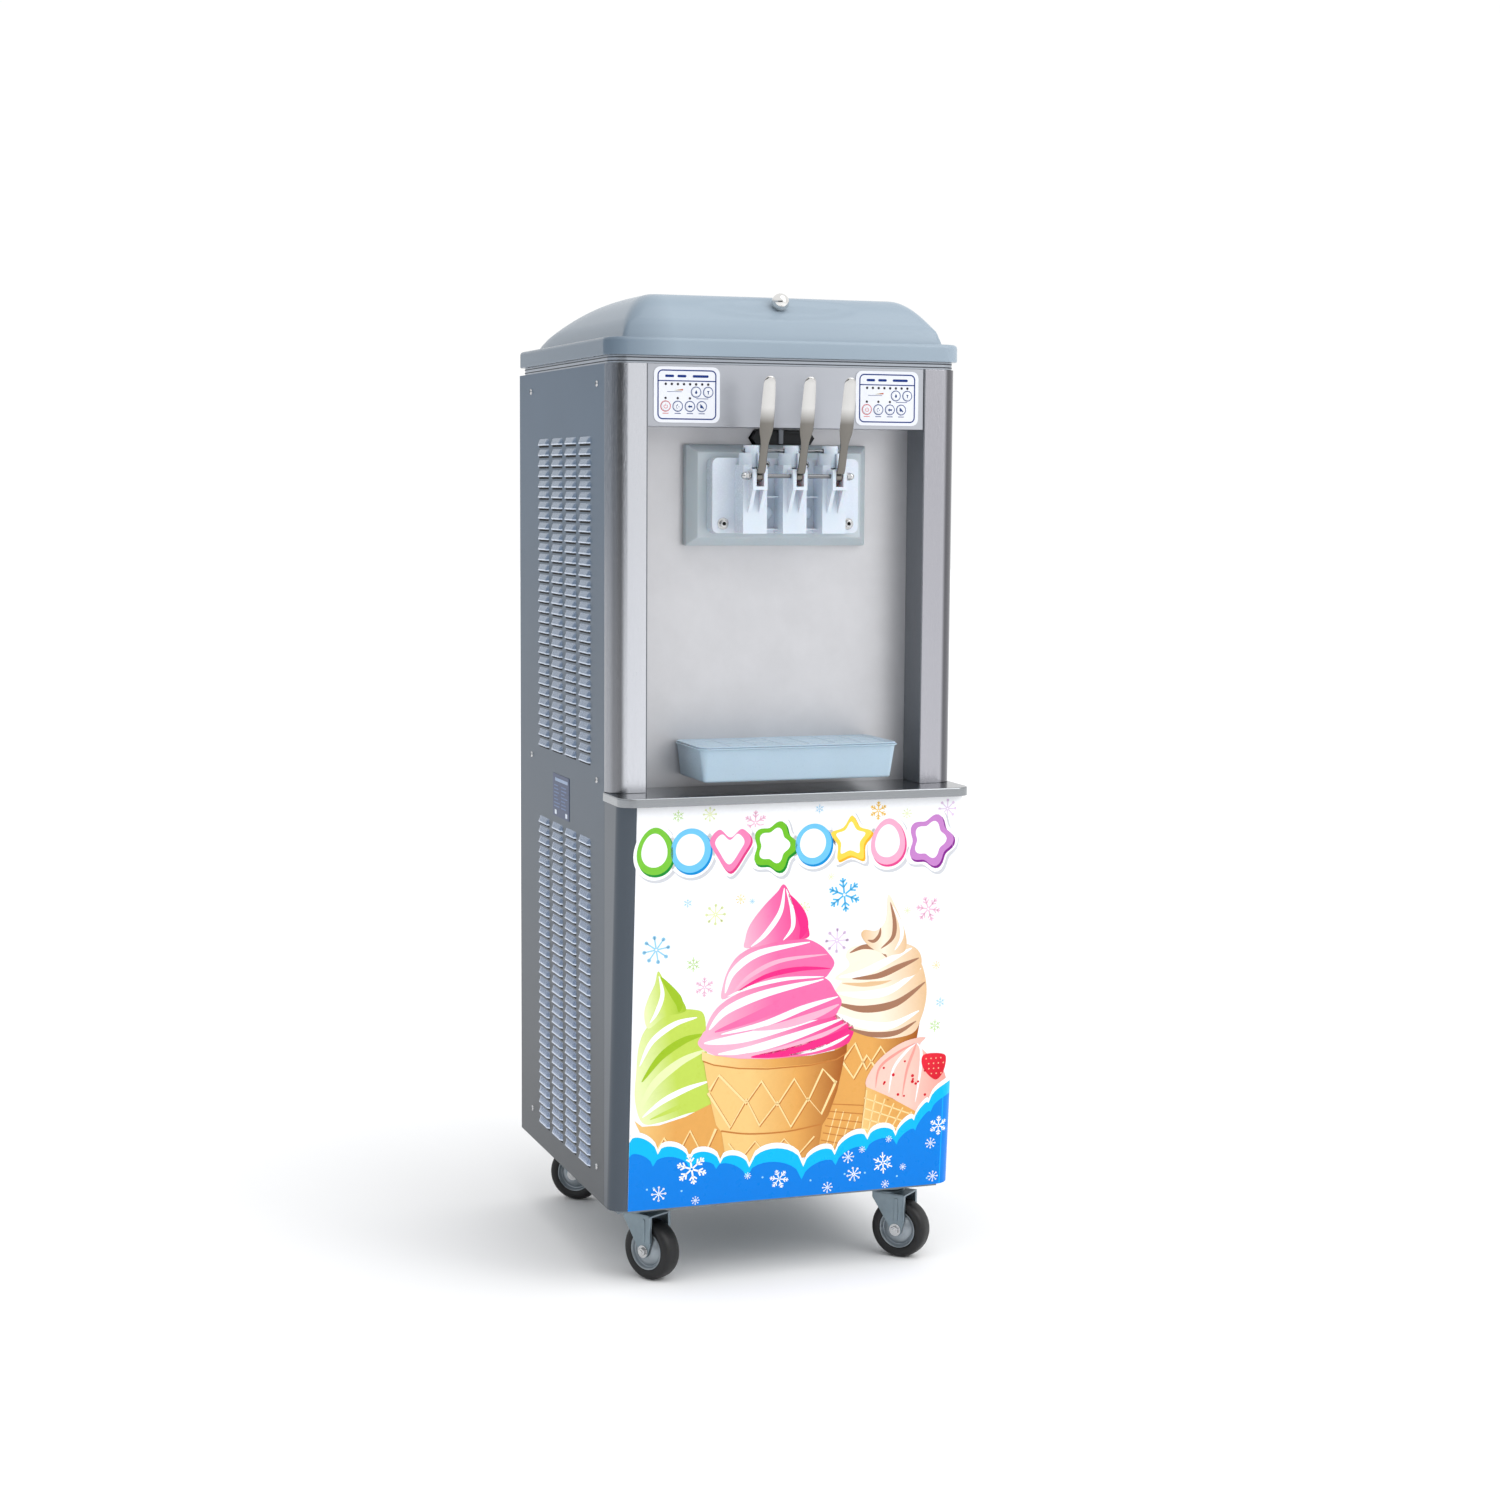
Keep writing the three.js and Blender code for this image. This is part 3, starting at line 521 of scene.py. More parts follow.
# lid plastic darker towards its left end only: painted shade
LID_PLASTIC_PAINTED_SHADE = surface(
    "lid_plastic", srgb(150, 165, 178), 0.0, 0.24, 0.02, 4, 120, (1, 1, 1), 0.000004, 0.02,
    fade=(-0.274, -0.17, srgb(96, 112, 127)), fade_axis="X", Specular_IOR_Level=0.3,
)
BEZEL_PLASTIC = surface(
    "bezel_plastic", srgb(186, 197, 203), 0.0, 0.3, 0.03, 12, 700, (1, 1, 1), 0.00002, 0.04,
    Subsurface_Weight=0.1,
)
HEAD_PLASTIC = surface(
    "head_plastic", srgb(209, 218, 229), 0.0, 0.26, 0.02, 16, 700, (1, 1, 1), 0.00002, 0.04,
    Subsurface_Weight=0.15,
)
TRAY_PLASTIC = surface(
    "tray_plastic", srgb(170, 190, 206), 0.0, 0.3, 0.03, 12, 600, (1, 1, 1), 0.00003, 0.04,
    Subsurface_Weight=0.1,
)
LABEL_FILM = surface("label_film", srgb(226, 229, 236), 0.0, 0.35, 0.02, 30, 900, (1, 1, 1), 0.00002)
CHROME = surface("chrome", srgb(222, 221, 219), 1.0, 0.08, 0.04, 30, 500, (1, 1, 1), 0.00001, 0.04)
# lever steel bright on the paddle and darker below it: a painted reflection on one polished steel
HANDLE_STEEL_PAINTED_REFLECTION = surface(
    "handle_steel_painted_reflection", srgb(204, 203, 201), 1.0, 0.1, 0.05, 45, 380, (1, 1, 0.2), 0.00002, 0.03,
    fade=(1.27, 1.292, srgb(118, 115, 110)),
)
ROD_STEEL = surface("rod_steel", srgb(122, 124, 127), 1.0, 0.16, 0.05, 60, 500, (0.05, 1, 1), 0.00001, 0.03)
BRIGHT_STEEL = surface(
    "bright_steel", srgb(196, 197, 198), 1.0, 0.22, 0.06, 60, 900, (1, 1, 1), 0.00002, 0.05
)
CASTOR_ZINC = surface(
    "castor_zinc", srgb(132, 146, 154), 0.75, 0.36, 0.08, 60, 700, (1, 1, 1), 0.00003, 0.08
)
HUB_ZINC = surface("hub_zinc", srgb(150, 158, 164), 0.7, 0.34, 0.08, 70, 700, (1, 1, 1), 0.00003, 0.06)
PRINT_FILM = ink_film("print_film")
KEY_FILM = ink_film("key_film", 0.38)

# ---------- CAD nodes that keep their own shape ----------


def finish_node(name, material, bevel, second=None, chosen=None):
    """Gives a CAD node its material and soft edges; chosen(polygon) picks faces for a second material."""
    obj = NODES[name]
    mesh = obj.data
    if "custom_normal" in mesh.attributes:
        mesh.attributes.remove(mesh.attributes["custom_normal"])
    mesh.materials.clear()
    mesh.materials.append(material)
    if second:
        mesh.materials.append(second)
        for polygon in mesh.polygons:
            polygon.material_index = 1 if chosen(polygon) else 0
    soften(obj, bevel, clean=True)


def finish_cad_nodes():
    plain = {
        "base_frame": (FRAME_ZINC, 0.5), "rear_panel": (SIDE_PAINT_PAINTED_REFLECTION, 0.4),
        "control_fascia": (STEEL_FASCIA, 0.5),
        "splash_panel": (STEEL_FRONT, 0.3), "front_panel": (LABEL_FILM, 0.3), "top_frame": (STEEL_TOP, 0.5),
        "drive_unit": (BLACK_PLASTIC, 2.0), "compressor": (BLACK_PLASTIC, 1.0),
        "condenser": (FRAME_ZINC, 0.4),
        "condenser_fan": (BLACK_PLASTIC, 0.6), "power_inlet": (BLACK_PLASTIC, 0.5),
        "head_bezel": (BEZEL_PLASTIC, 2.0), "dispensing_head": (HEAD_PLASTIC, 0.9),
    }
    for name, (material, bevel) in plain.items():
        finish_node(name, material, bevel)
    for side, _ in SIDES:
        finish_node(f"{side}_side_panel", SIDE_PAINT_PAINTED_REFLECTION, 0.5)
        finish_node(f"{side}_hopper", STEEL_TANK, 0.5)
        finish_node(f"{side}_freezing_cylinder", STEEL_TANK, 0.5)
        finish_node(f"{side}_beater", BRIGHT_STEEL, 0.6)
        finish_node(f"{side}_keypad", LABEL_FILM, 0.15)
    for tap in TAPS:
        finish_node(f"{tap}_plunger", HEAD_PLASTIC, 0.5)


# ---------- sheet metal with round corners ----------


def corner_sheet(side, radius, inner, back, low, high, lean=0.0):
    """A sheet that comes forward along the side, turns a round corner and ends at the inner edge."""
    steps = 20
    outer = [(HALF_WIDTH, back)] + [
        (HALF_WIDTH - radius + x, radius - y) for x, y in arc(0, 0, radius, 0, 90, steps)
    ] + [(inner, 0)]
    inside = [(inner, SHEET)] + [
        (HALF_WIDTH - radius + x, radius - y) for x, y in arc(0, 0, radius - SHEET, 90, 0, steps)
    ] + [(HALF_WIDTH - SHEET, back)]
    loops = []
    for height in (low, high):
        shift = (height - CABINET_BOTTOM) * math.tan(lean)
        loops.append(
            [(side * x, y if y == back else y + bottom_y(lean) - shift, height) for x, y in outer + inside]
        )
    return loft(loops)


def bottom_y(lean):
    """Where the leaning front starts at the bottom of the cabinet."""
    if not lean:
        return 0.0
    top_y, top_z = limits("front_panel")[2], limits("front_panel")[5] - PANEL_PAN * math.sin(lean)
    return top_y + (top_z - CABINET_BOTTOM) * math.tan(lean)


def columns_and_cheeks():
    for side, sign in SIDES:
        low, high = limits(f"{side}_upper_column")[4:]
        column = corner_sheet(sign, COLUMN_RADIUS, COLUMN_INNER + SHEET, COLUMN_RADIUS, low, high)
        back = plate(
            [(sign * COLUMN_INNER, 0.0), (sign * (COLUMN_INNER + SHEET), 0.0),
             (sign * (COLUMN_INNER + SHEET), BAY_DEPTH), (sign * COLUMN_INNER, BAY_DEPTH)],
            low, high, slot=1,
        )
        piece(
            f"{side}_column_skin", column.join(back), [STEEL_COLUMN_PAINTED_SHADE[sign], STEEL_RETURN_PAINTED_SHADE], "cabinet",
            [f"{side}_upper_column"], bevel=0.5,
        )
        low, high = limits(f"{side}_lower_cheek")[4:]
        cheek = corner_sheet(sign, LOWER_RADIUS, PANEL_HALF + 0.3, COLUMN_RADIUS, low, high, LEAN)
        piece(
            f"{side}_cheek_skin", cheek, CHEEK_PAINT, "cabinet", [f"{side}_lower_cheek"],
            bevel=0.4
        )


def shelf_skin():
    half, _, front, back, low, high = limits("shelf")
    half = -half
    notch = 255.5

    def place(inset, height):
        radius = 24 - inset
        front_y, edge, step = front + inset, half - inset, COLUMN_RADIUS - inset
        loop = [
            (notch - inset, back - inset), (-notch + inset, back - inset), (-notch + inset, step),
            (-edge, step)
        ]
        loop += arc(-edge + radius, front_y + radius, radius, 180, 270, 10)
        loop += arc(edge - radius, front_y + radius, radius, 270, 360, 10)
        loop += [(edge, step), (notch - inset, step)]
        return [(x, y, height) for x, y in loop]

    section = [(3, high - SHEET), (SHEET, high - SHEET), (SHEET, low), (0.4, low), (0, low + 0.4)]
    section += [(0, high - 2.2), (0.3, high - 1.1), (1.0, high - 0.3), (2.2, high)]
    shape = loft([place(*row) for row in section])
    piece("shelf_skin", shape, STEEL_SHELF, "cabinet", ["shelf"])


# ---------- lid ----------


def soft_min(a, b, blend):
    """The lower of two heights, rounded over where they meet."""
    gap = max(blend - abs(a - b), 0) / blend
    return min(a, b) - gap * gap * blend / 4


def smooth_step(value):
    value = min(max(value, 0.0), 1.0)
    return value * value * (3 - 2 * value)


def dome_height(x, y):
    """Height of the dome over the rim: leaning front, S-shaped ends, and a long round fall to the back."""
    front, back, foot = 8, 512, 250
    run = y - front
    lean_part = 0.30 * smooth_step(run / 10) + 1.02 * max(run - 3, 0) / 62
    front_face = DOME_HEIGHT * min(lean_part, 1.6)
    fall = min(max((y - 128) / (back - 128), 0), 1)
    roof = DOME_HEIGHT * (1 - fall ** 2.6) ** (1 / 1.15) if fall < 1 else 0
    end_run = foot - abs(x)
    end_face = DOME_HEIGHT * (
        0.2 * smooth_step(end_run / 12) + 1.3 * (1 - (1 - min(max(end_run - 3, 0) / 92, 1)) ** 1.7)
    )
    height = soft_min(soft_min(front_face, roof, 22), end_face, 24)
    crown = 1.5 * (1 - (x / foot) ** 2)
    lens = (x / 118) ** 2 + ((run - 30) / 15) ** 2
    inner = ((x - 8) / 84) ** 2 + ((run - 34) / 7.5) ** 2
    dent = 2.6 * smooth_step(2.2 * (1.15 - lens)) + 1.8 * smooth_step(2.2 * (1.1 - inner))
    return min(height + crown * min(height / DOME_HEIGHT, 1) - dent, DOME_HEIGHT)


def lid():
    x0, x1, y0, y1, low, _ = limits("hopper_lid")

    def rim_loop(inset, height):
        outline = round_rect(x0 + inset, x1 - inset, y0 + inset, y1 - inset, 30 - inset, 12)
        return [(x, y, height) for x, y in outline]

    top = RIM_TOP
    section = [
        (0.6, low), (0, low + 1.5), (0, top - 6), (0.5, top - 3.4), (2.0, top - 1.3), (4.6, top - 0.2),
        (7, top),
        (28, top), (28, top - 3), (6, top - 3), (3.2, top - 6), (3.2, low + 3), (16, low + 3), (16, low),
    ]
    rim = swept(rim_loop, section)
    columns, rows = 130, 110
    xs = [250 * math.copysign(abs(t) ** 0.72, t) for t in (2 * k / columns - 1 for k in range(columns + 1))]
    ys = [
        8 + 504 * (0.55 * t ** 1.9 + 0.45 * (1 - (1 - t) ** 1.5))
        for t in (k / rows for k in range(rows + 1))
    ]
    wall = 3
    points, faces = [], []
    size = (columns + 1) * (rows + 1)
    for drop in (0, wall):
        for y in ys:
            for x in xs:
                height = dome_height(x, y)
                points.append((x, y, top - 0.8 - (0.0 if drop == 0 else 1.4) + max(height - drop * 0.9, 0)))
    for row in range(rows):
        for column in range(columns):
            a = row * (columns + 1) + column
            quad = (a, a + 1, a + columns + 2, a + columns + 1)
            faces.append(quad)
            faces.append(tuple(size + index for index in reversed(quad)))
    edge = list(range(columns + 1))
    edge += [(k + 1) * (columns + 1) - 1 for k in range(1, rows + 1)]
    edge += [size - 1 - k for k in range(1, columns + 1)]
    edge += [(rows - k) * (columns + 1) for k in range(1, rows)]
    for index, a in enumerate(edge):
        b = edge[(index + 1) % len(edge)]
        faces.append((b, a, size + a, size + b))
    rim.add(points, faces)
    piece("lid_shell", rim, LID_PLASTIC_PAINTED_SHADE, "lid", ["hopper_lid"])


def knob():
    low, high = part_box("lid_knob")
    middle = (low + high) / 2
    axis = Vector((0, -math.sin(math.radians(45)), math.cos(math.radians(45))))
    profile = [
        (0, 0), (9, 0), (9.6, 0.5), (9.8, 1.6), (9.4, 3.2), (8.2, 4.6), (6.6, 5.6), (6.0, 7.0), (6.0, 8.6)
    ]
    profile += [(6.6, 9.6), (8.2, 10.2)]
    profile += [
        (13 * math.cos(a), 19.5 + 13 * math.sin(a))
        for a in (math.radians(d) for d in range(-42, 90, 8))
    ]
    profile += [(0, 32.5)]
    start = Vector((0, (middle.y - FRONT) / MM, middle.z / MM)) - axis * 14.6
    shape = lathe(profile, 56).moved(placed(*start, axis))
    piece("knob_ball", shape, CHROME, "lid", ["lid_knob"])


# ---------- drip tray ----------


def tray():
    x0, x1, y0, _, floor_z, top = limits("drip_tray")
    back = BAY_DEPTH - 0.4

    def loop(inset, height, rear):
        corner = 15 - min(inset, 12)
        outline = round_rect(x0 + inset, x1 - inset, y0 + inset, back - rear, corner, 10)
        return [(x, y, height) for x, y in outline]

    section = [
        (14.5, floor_z, 1), (12.2, floor_z + 0.5, 1), (10.4, floor_z + 2, 1), (9.8, floor_z + 4.4, 1),
        (3.4, top - 4, 1), (3.0, top - 2.6, 1), (2.4, top - 2.2, 1), (0.7, top - 2.0, 0.3),
        (0.1, top - 1.4, 0), (0.1, top - 0.5, 0), (0.7, top - 0.05, 0.3), (2.2, top, 1.4),
        (4.6, top - 0.4, 2.4), (5.4, top - 2.2, 3), (12, floor_z + 5, 3), (13, floor_z + 3, 3.6),
        (16, floor_z + 2.4, 6),
    ]
    shape = loft([loop(*row) for row in section])
    for side in (-1, 1):
        shape.join(
            plate(round_rect(side * 80 - 10, side * 80 + 10, 785, 790, 1.5, 3), back - 1, 76, axis="Y")
        )
    piece("tray_shell", shape, TRAY_PLASTIC, "tray", ["drip_tray"])


def tray_cover():
    """A slotted cover: bars of a grid between long slots, with a rounded rim."""
    x0, x1, y0, y1, low, high = limits("drip_tray_cover")
    shape = Shape()

    def loop(inset, height):
        return [
            (x, y, height)
            for x, y in round_rect(x0 + inset, x1 - inset, y0 + inset, y1 - inset, 13 - min(inset, 10), 8)
        ]

    section = [
        (0.5, low), (0, low + 0.5), (0, high - 0.6), (0.5, high - 0.1), (1.2, high), (11, high), (11, low)
    ]
    shape.join(swept(loop, section))
    slot_rows = ((-46.0, -14.0), (-11.0, 21.0), (24.0, 50.0))
    columns = 7
    pitch = (x1 - x0 - 22) / columns
    start = x0 + 11
    for column in range(columns + 1):
        x = start + column * pitch
        half = 1.6 if 0 < column < columns else 2.4
        shape.join(plate(round_rect(x - half, x + half, y0 + 9, y1 - 9, 0.5, 2), low, high, round_over=0.3))
    for y in [y0 + 10, -12.5, 22.5, y1 - 10]:
        shape.join(
            plate(round_rect(x0 + 9, x1 - 9, y - 1.5, y + 1.5, 0.5, 2), low, high - 0.05, round_over=0.3)
        )
    for first, last in slot_rows:
        count = 6
        for bar in range(count):
            y = first + (last - first) * (bar + 0.5) / count
            shape.join(
                plate(round_rect(x0 + 9, x1 - 9, y - 1.9, y + 1.9, 0.4, 2), low, high - 0.4, round_over=0.3)
            )
    piece("tray_cover_grid", shape, TRAY_PLASTIC, "tray_cover", ["drip_tray_cover"])


# ---------- taps ----------


def handle(tap):
    """A polished spoon lever: a narrow stem, a shoulder and a wide paddle with a round end.

    A row of its spine is the reach forward, the height, half the width and half the thickness.
    """
    pivot = JOINTS[f"{tap}_lever_pull"]["pos_m"]
    x, y, z = pivot[0] / MM, (pivot[1] - FRONT) / MM, pivot[2] / MM
    spine = [
        (-12.2, 4.2, 5.0, 1.4), (-12.9, 5.4, 5.8, 2.8), (-17, 15, 6.0, 3.0), (-21.5, 30, 6.0, 2.9),
        (-26, 44, 6.2, 2.8), (-29, 53, 7.6, 2.8), (-31.5, 60, 9.4, 2.8), (-34, 68, 10.3, 2.8),
        (-37, 80, 10.4, 2.7),
        (-40.4, 96, 10.2, 2.6), (-43.4, 112, 9.8, 2.5), (-46, 126, 9.2, 2.4), (-47.4, 133, 8.7, 2.3),
        (-48, 136.6, 7.3, 2.1), (-48.4, 139.4, 4.6, 1.7), (-48.5, 140.4, 1.2, 0.8),
    ]
    rows = spline(spine, 5, closed=False)
    loops = []
    for index, (forward, up, half, thick) in enumerate(rows):
        before, after = rows[max(index - 1, 0)], rows[min(index + 1, len(rows) - 1)]
        along = Vector((0, after[0] - before[0], after[1] - before[1])).normalized()
        normal = Vector((1, 0, 0)).cross(along)
        loop = []
        for k in range(20):
            angle = 2 * math.pi * k / 20
            c, s = math.cos(angle), math.sin(angle)
            across = half * math.copysign(abs(c) ** 0.6, c)
            depth = thick * math.copysign(abs(s) ** 0.75, s) * (1 - 0.62 * (across / 10.4) ** 2)
            loop.append(Vector((x + across, y + forward, z + up)) + normal * depth)
        loops.append(loop)
    shape = loft(loops)
    shape.join(
        lathe([(3.45, -4.6), (7.2, -4.6), (8, -3.8), (8, 3.8), (7.2, 4.6), (3.45, 4.6)], 40),
        placed(x, y, z, (1, 0, 0))
    )
    arm = plate(round_rect(2, 30, -3.6, 3.6, 3.4, 6), -3.4, 3.4, round_over=0.5, axis="X")
    shape.join(arm, Matrix.Translation((x, y, z)))
    piece(f"{tap}_spoon", shape, HANDLE_STEEL_PAINTED_REFLECTION, f"{tap}_tap_lever", [f"{tap}_handle"])


def acorn_nut():
    hexagon = plate(ring(5.6, 6), 0, 5, round_over=0.5)
    cap = [(4.6, 4.6), (4.9, 5.4)] + [
        (4.9 * math.cos(a), 6 + 5 * math.sin(a))
        for a in (math.radians(d) for d in range(0, 90, 12))
    ]
    return hexagon.join(lathe([(0, 4.6)] + cap + [(0, 11)], 32))


def socket_screw(radius=5.0, height=4.5, washer=0.0):
    """Cap screw with a hexagon recess, on an optional washer; the floor of the recess is painted dark as
    shade.
    """
    shape = Shape()
    base = 0.0
    if washer:
        shape.join(
            lathe(
                [(0, 0), (washer - 0.3, 0), (washer, 0.3), (washer, 1.1), (washer - 0.4, 1.5), (0, 1.5)], 40
            )
        )
        base = 1.5
    top = base + height
    outer = [[(x, y, z) for x, y in ring(r, 36)] for r, z in (
        (radius, base), (radius, top - 0.7), (radius - 0.2, top - 0.25), (radius - 0.8, top),
        (radius * 0.62, top),
    )]
    hexagon = [(x * hex_pull(x, y), y * hex_pull(x, y)) for x, y in ring(radius * 0.58, 36)]
    well = [[(x, y, z) for x, y in hexagon] for z in (top - 0.2, top - height * 0.6)]
    head = loft(outer + well)
    # the floor of the hexagon recess takes the dark material: painted shade
    head.slots[-1] = 1
    return shape.join(head)


def hex_pull(x, y):
    """Scale that draws a circle of points onto a hexagon."""
    angle = math.atan2(y, x) % (math.pi / 3) - math.pi / 6
    return math.cos(math.pi / 6) / math.cos(angle)


def tap_hardware():
    rod_x, rod_y, rod_z = 80, limits("pivot_rod")[2] + 3, limits("pivot_rod")[4] + 3
    rod = lathe(
        [(0, -rod_x), (3, -rod_x), (3, rod_x), (0, rod_x)], 32, slot=1
    ).moved(placed(0, rod_y, rod_z, (1, 0, 0)))
    for side in (-1, 1):
        rod.join(
            lathe([(0, 0), (5.6, 0), (6, 0.3), (6, 1.0), (5.6, 1.3), (0, 1.3)], 32),
            placed(side * 74.4, rod_y, rod_z, (side, 0, 0))
        )
        rod.join(acorn_nut(), placed(side * 75.7, rod_y, rod_z, (side, 0, 0)))
    piece("pivot_rod_and_nuts", rod, [BRIGHT_STEEL, ROD_STEEL], "cabinet", ["pivot_rod"])
    _, half, front, _, bottom, _ = limits("retaining_bar")
    bar_y, bar_z = front + 2.5, bottom + 2.5
    profile = [
        (0, -half), (2.0, -half), (2.5, -half + 0.6), (2.5, -half + 7), (1.9, -half + 7.6),
        (1.9, -half + 9), (2.5, -half + 9.6)
    ]
    profile += [(radius, -height) for radius, height in reversed(profile)]
    bar = lathe(profile, 32).moved(placed(0, bar_y, bar_z, (1, 0, 0)))
    piece("retaining_bar_round", bar, ROD_STEEL, "cabinet", ["retaining_bar"])
    face_y = limits("dispensing_head")[3] - 25.9
    screws = Shape()
    for x, z in ((-97, 1127), (97, 1127)):
        screws.join(socket_screw(5.2, 4.6, washer=8.4), placed(x, face_y, z, (0, -1, 0)))
    for x in (-30.5, 30.5):
        screws.join(socket_screw(3.6, 3.0, washer=5.0), placed(x, face_y, 1213, (0, -1, 0)))
    piece("head_screws", screws, [BRIGHT_STEEL, PAINTED_SHADE_DARK], "cabinet")
    ribs = Shape()
    for x in (-30.5, 30.5):
        for z in (1119, 1166):
            ribs.join(
                plate(
                    round_rect(x - 12.4, x + 12.4, z - 1.1, z + 1.1, 0.8, 3), face_y - 17, face_y + 1,
                    axis="Y", round_over=0.3
                )
            )
        boss = lathe([(0, 0), (9.6, 0), (9.6, 2.4), (8.6, 4.2), (6, 5.4), (0, 6)], 40)
        ribs.join(boss, placed(x, face_y + 0.5, 1143, (0, -1, 0)))
    piece("head_ribs", ribs, HEAD_PLASTIC, "cabinet")


def switch_box():
    """Black housing that stands through the window above the taps, with a grey tab that hangs on it."""
    face = BAY_DEPTH + 0.4
    outline = [(-37, 1252), (-29, 1240.5), (53, 1240.5), (61, 1252), (54, 1263), (-30, 1263)]
    shape = plate(outline, face - 9, face + 20, axis="Y", round_over=0.8)
    shape.join(
        plate(round_rect(-24, 48, 1246, 1258, 2, 4), face - 10.4, face - 8.6, axis="Y", round_over=0.5)
    )
    piece("switch_housing", shape, BLACK_PLASTIC, "cabinet")
    tab = plate(
        round_rect(3.5, 10, 1243.5, 1264.5, 1.2, 3), face - 14, face - 10.2, axis="Y", round_over=0.5
    )
    piece("switch_tab", tab, GREY_PLASTIC, "cabinet")


# ---------- louvres, screws and plates on the sides ----------


def louvre(length=59.0, height=10.2, depth=3.7):
    """One pressed hood: local X outwards, Y along it, Z up, open at the bottom. Its slot is a dark plate
    under the lip, painted shade where the opening would be; its lip faces carry a painted highlight.
    """
    sections = 11
    loops = []
    for k in range(sections):
        s = k / (sections - 1)
        end = min(s, 1 - s) * length / 7
        swell = math.sqrt(max(1 - (1 - min(end, 1)) ** 2, 0))
        outer = []
        for t in (0, 0.08, 0.22, 0.4, 0.62, 0.8, 1):
            outer.append((depth * swell * math.sin(math.pi / 2 * t), height * (1 - t) + 0.5 * (t == 1)))
        inner = [(max(out - 1.1, -1.2), up + (0.5 if up < height else 0)) for out, up in reversed(outer)]
        inner[0] = (outer[-1][0] - 1.0, 0.4)
        loops.append(
            [(out, -length / 2 + s * length, up) for out, up in outer + [(outer[-1][0] - 0.5, 0.0)] + inner]
        )
    shape = loft(loops)
    # faces along the lip, which take the painted highlight
    lip = {5, 6, 7, 8, 9}
    around = len(loops[0])
    shape.slots = [2 if index % around in lip and index < around * (sections - 1) else 0
                   for index in range(len(shape.faces))]
    # dark plate on the flat panel below the lip: painted shade standing in for the opening
    dark = plate(
        round_rect(-length / 2 + 0.5, length / 2 - 0.5, -3.2, 4.5, 1.2, 3), -0.4, 0.15, slot=1, axis="X"
    )
    return shape.join(dark)


def side_louvres():
    pitch = 16.2
    blocks = ((772.0, 30), (163.0, 31))
    one = louvre()
    for side, sign in SIDES:
        shape = Shape()
        mirror = Matrix.Diagonal((sign, 1, 1, 1))
        for column in (131, 210, 288, 367):
            for start, rows in blocks:
                for row in range(rows):
                    spot = Matrix.Translation((sign * HALF_WIDTH, column, start + row * pitch))
                    shape.join(one, spot @ mirror)
        piece(f"{side}_louvres", shape, [LOUVRE_PAINTED_LIGHT, PAINTED_SHADE_DARK, LOUVRE_LIP_HIGHLIGHT], "cabinet")


def pan_screw(radius=4.6):
    """Low round head with a cross drawn as two dark bars: painted shade in place of a cross recess."""
    dome = [(radius, 0), (radius, 0.5), (radius * 0.9, 1.3), (radius * 0.66, 2.0), (radius * 0.34, 2.35)]
    shape = lathe([(0, 0)] + dome + [(0, 2.45)], 28)
    for turn in (0, 90):
        # dark bars: painted shade for the cross recess
        bar = plate(round_rect(-radius * 0.55, radius * 0.55, -0.4, 0.4, 0.2, 2), 1.6, 2.52, slot=1)
        shape.join(bar, Matrix.Rotation(math.radians(turn), 4, "Z"))
    return shape


def cabinet_screws():
    shape = Shape()
    screw = pan_screw()
    for _, sign in SIDES:
        for y in (67, 445):
            for z in (172, 751, 1327):
                shape.join(screw, placed(sign * HALF_WIDTH, y, z, (sign, 0, 0)))
    for x in (-236, 0, 236):
        for z in (150, 700, 1325):
            shape.join(screw, placed(x, BODY_BACK, z, (0, 1, 0)))
    piece("cabinet_screws", shape, [BRIGHT_STEEL, PAINTED_SHADE_DARK], "cabinet")


def seals():
    """Two dark beads under the lid rim, round the top frame."""
    x0, x1, y0, y1, low, _ = limits("top_frame")
    shape = Shape()
    for height in (low + 3.0, low + 8.0):
        def place(inset, z, height=height):
            outline = round_rect(x0 + inset, x1 - inset, y0 + inset, y1 - inset, 24 - inset, 10)
            return [(x, y, height + z) for x, y in outline]
        shape.join(
            swept(
                place,
                [
                    (0.6 - 1.3 * math.cos(a), 1.0 * math.sin(a))
                    for a in (math.radians(45 * k) for k in range(8))
                ]
            )
        )
    piece("frame_seals", shape, GREY_SEAL, "cabinet")


# ---------- printed film ----------


class Fade:
    """Ink that runs from colour to colour between two points of the drawing."""

    def __init__(self, start, end, *colours):
        self.start, self.end = Vector(start), Vector(end)
        self.colours = [Vector(colour) for colour in colours]

    def at(self, u, w):
        line = self.end - self.start
        part = (Vector((u, w)) - self.start).dot(line) / line.length_squared
        part = min(max(part, 0), 1) * (len(self.colours) - 1)
        index = min(int(part), len(self.colours) - 2)
        return tuple(self.colours[index].lerp(self.colours[index + 1], part - index))

    def cuts(self):
        line = self.end - self.start
        count = len(self.colours) - 1
        return [(self.start + line * k / count, line) for k in range(count + 1)]


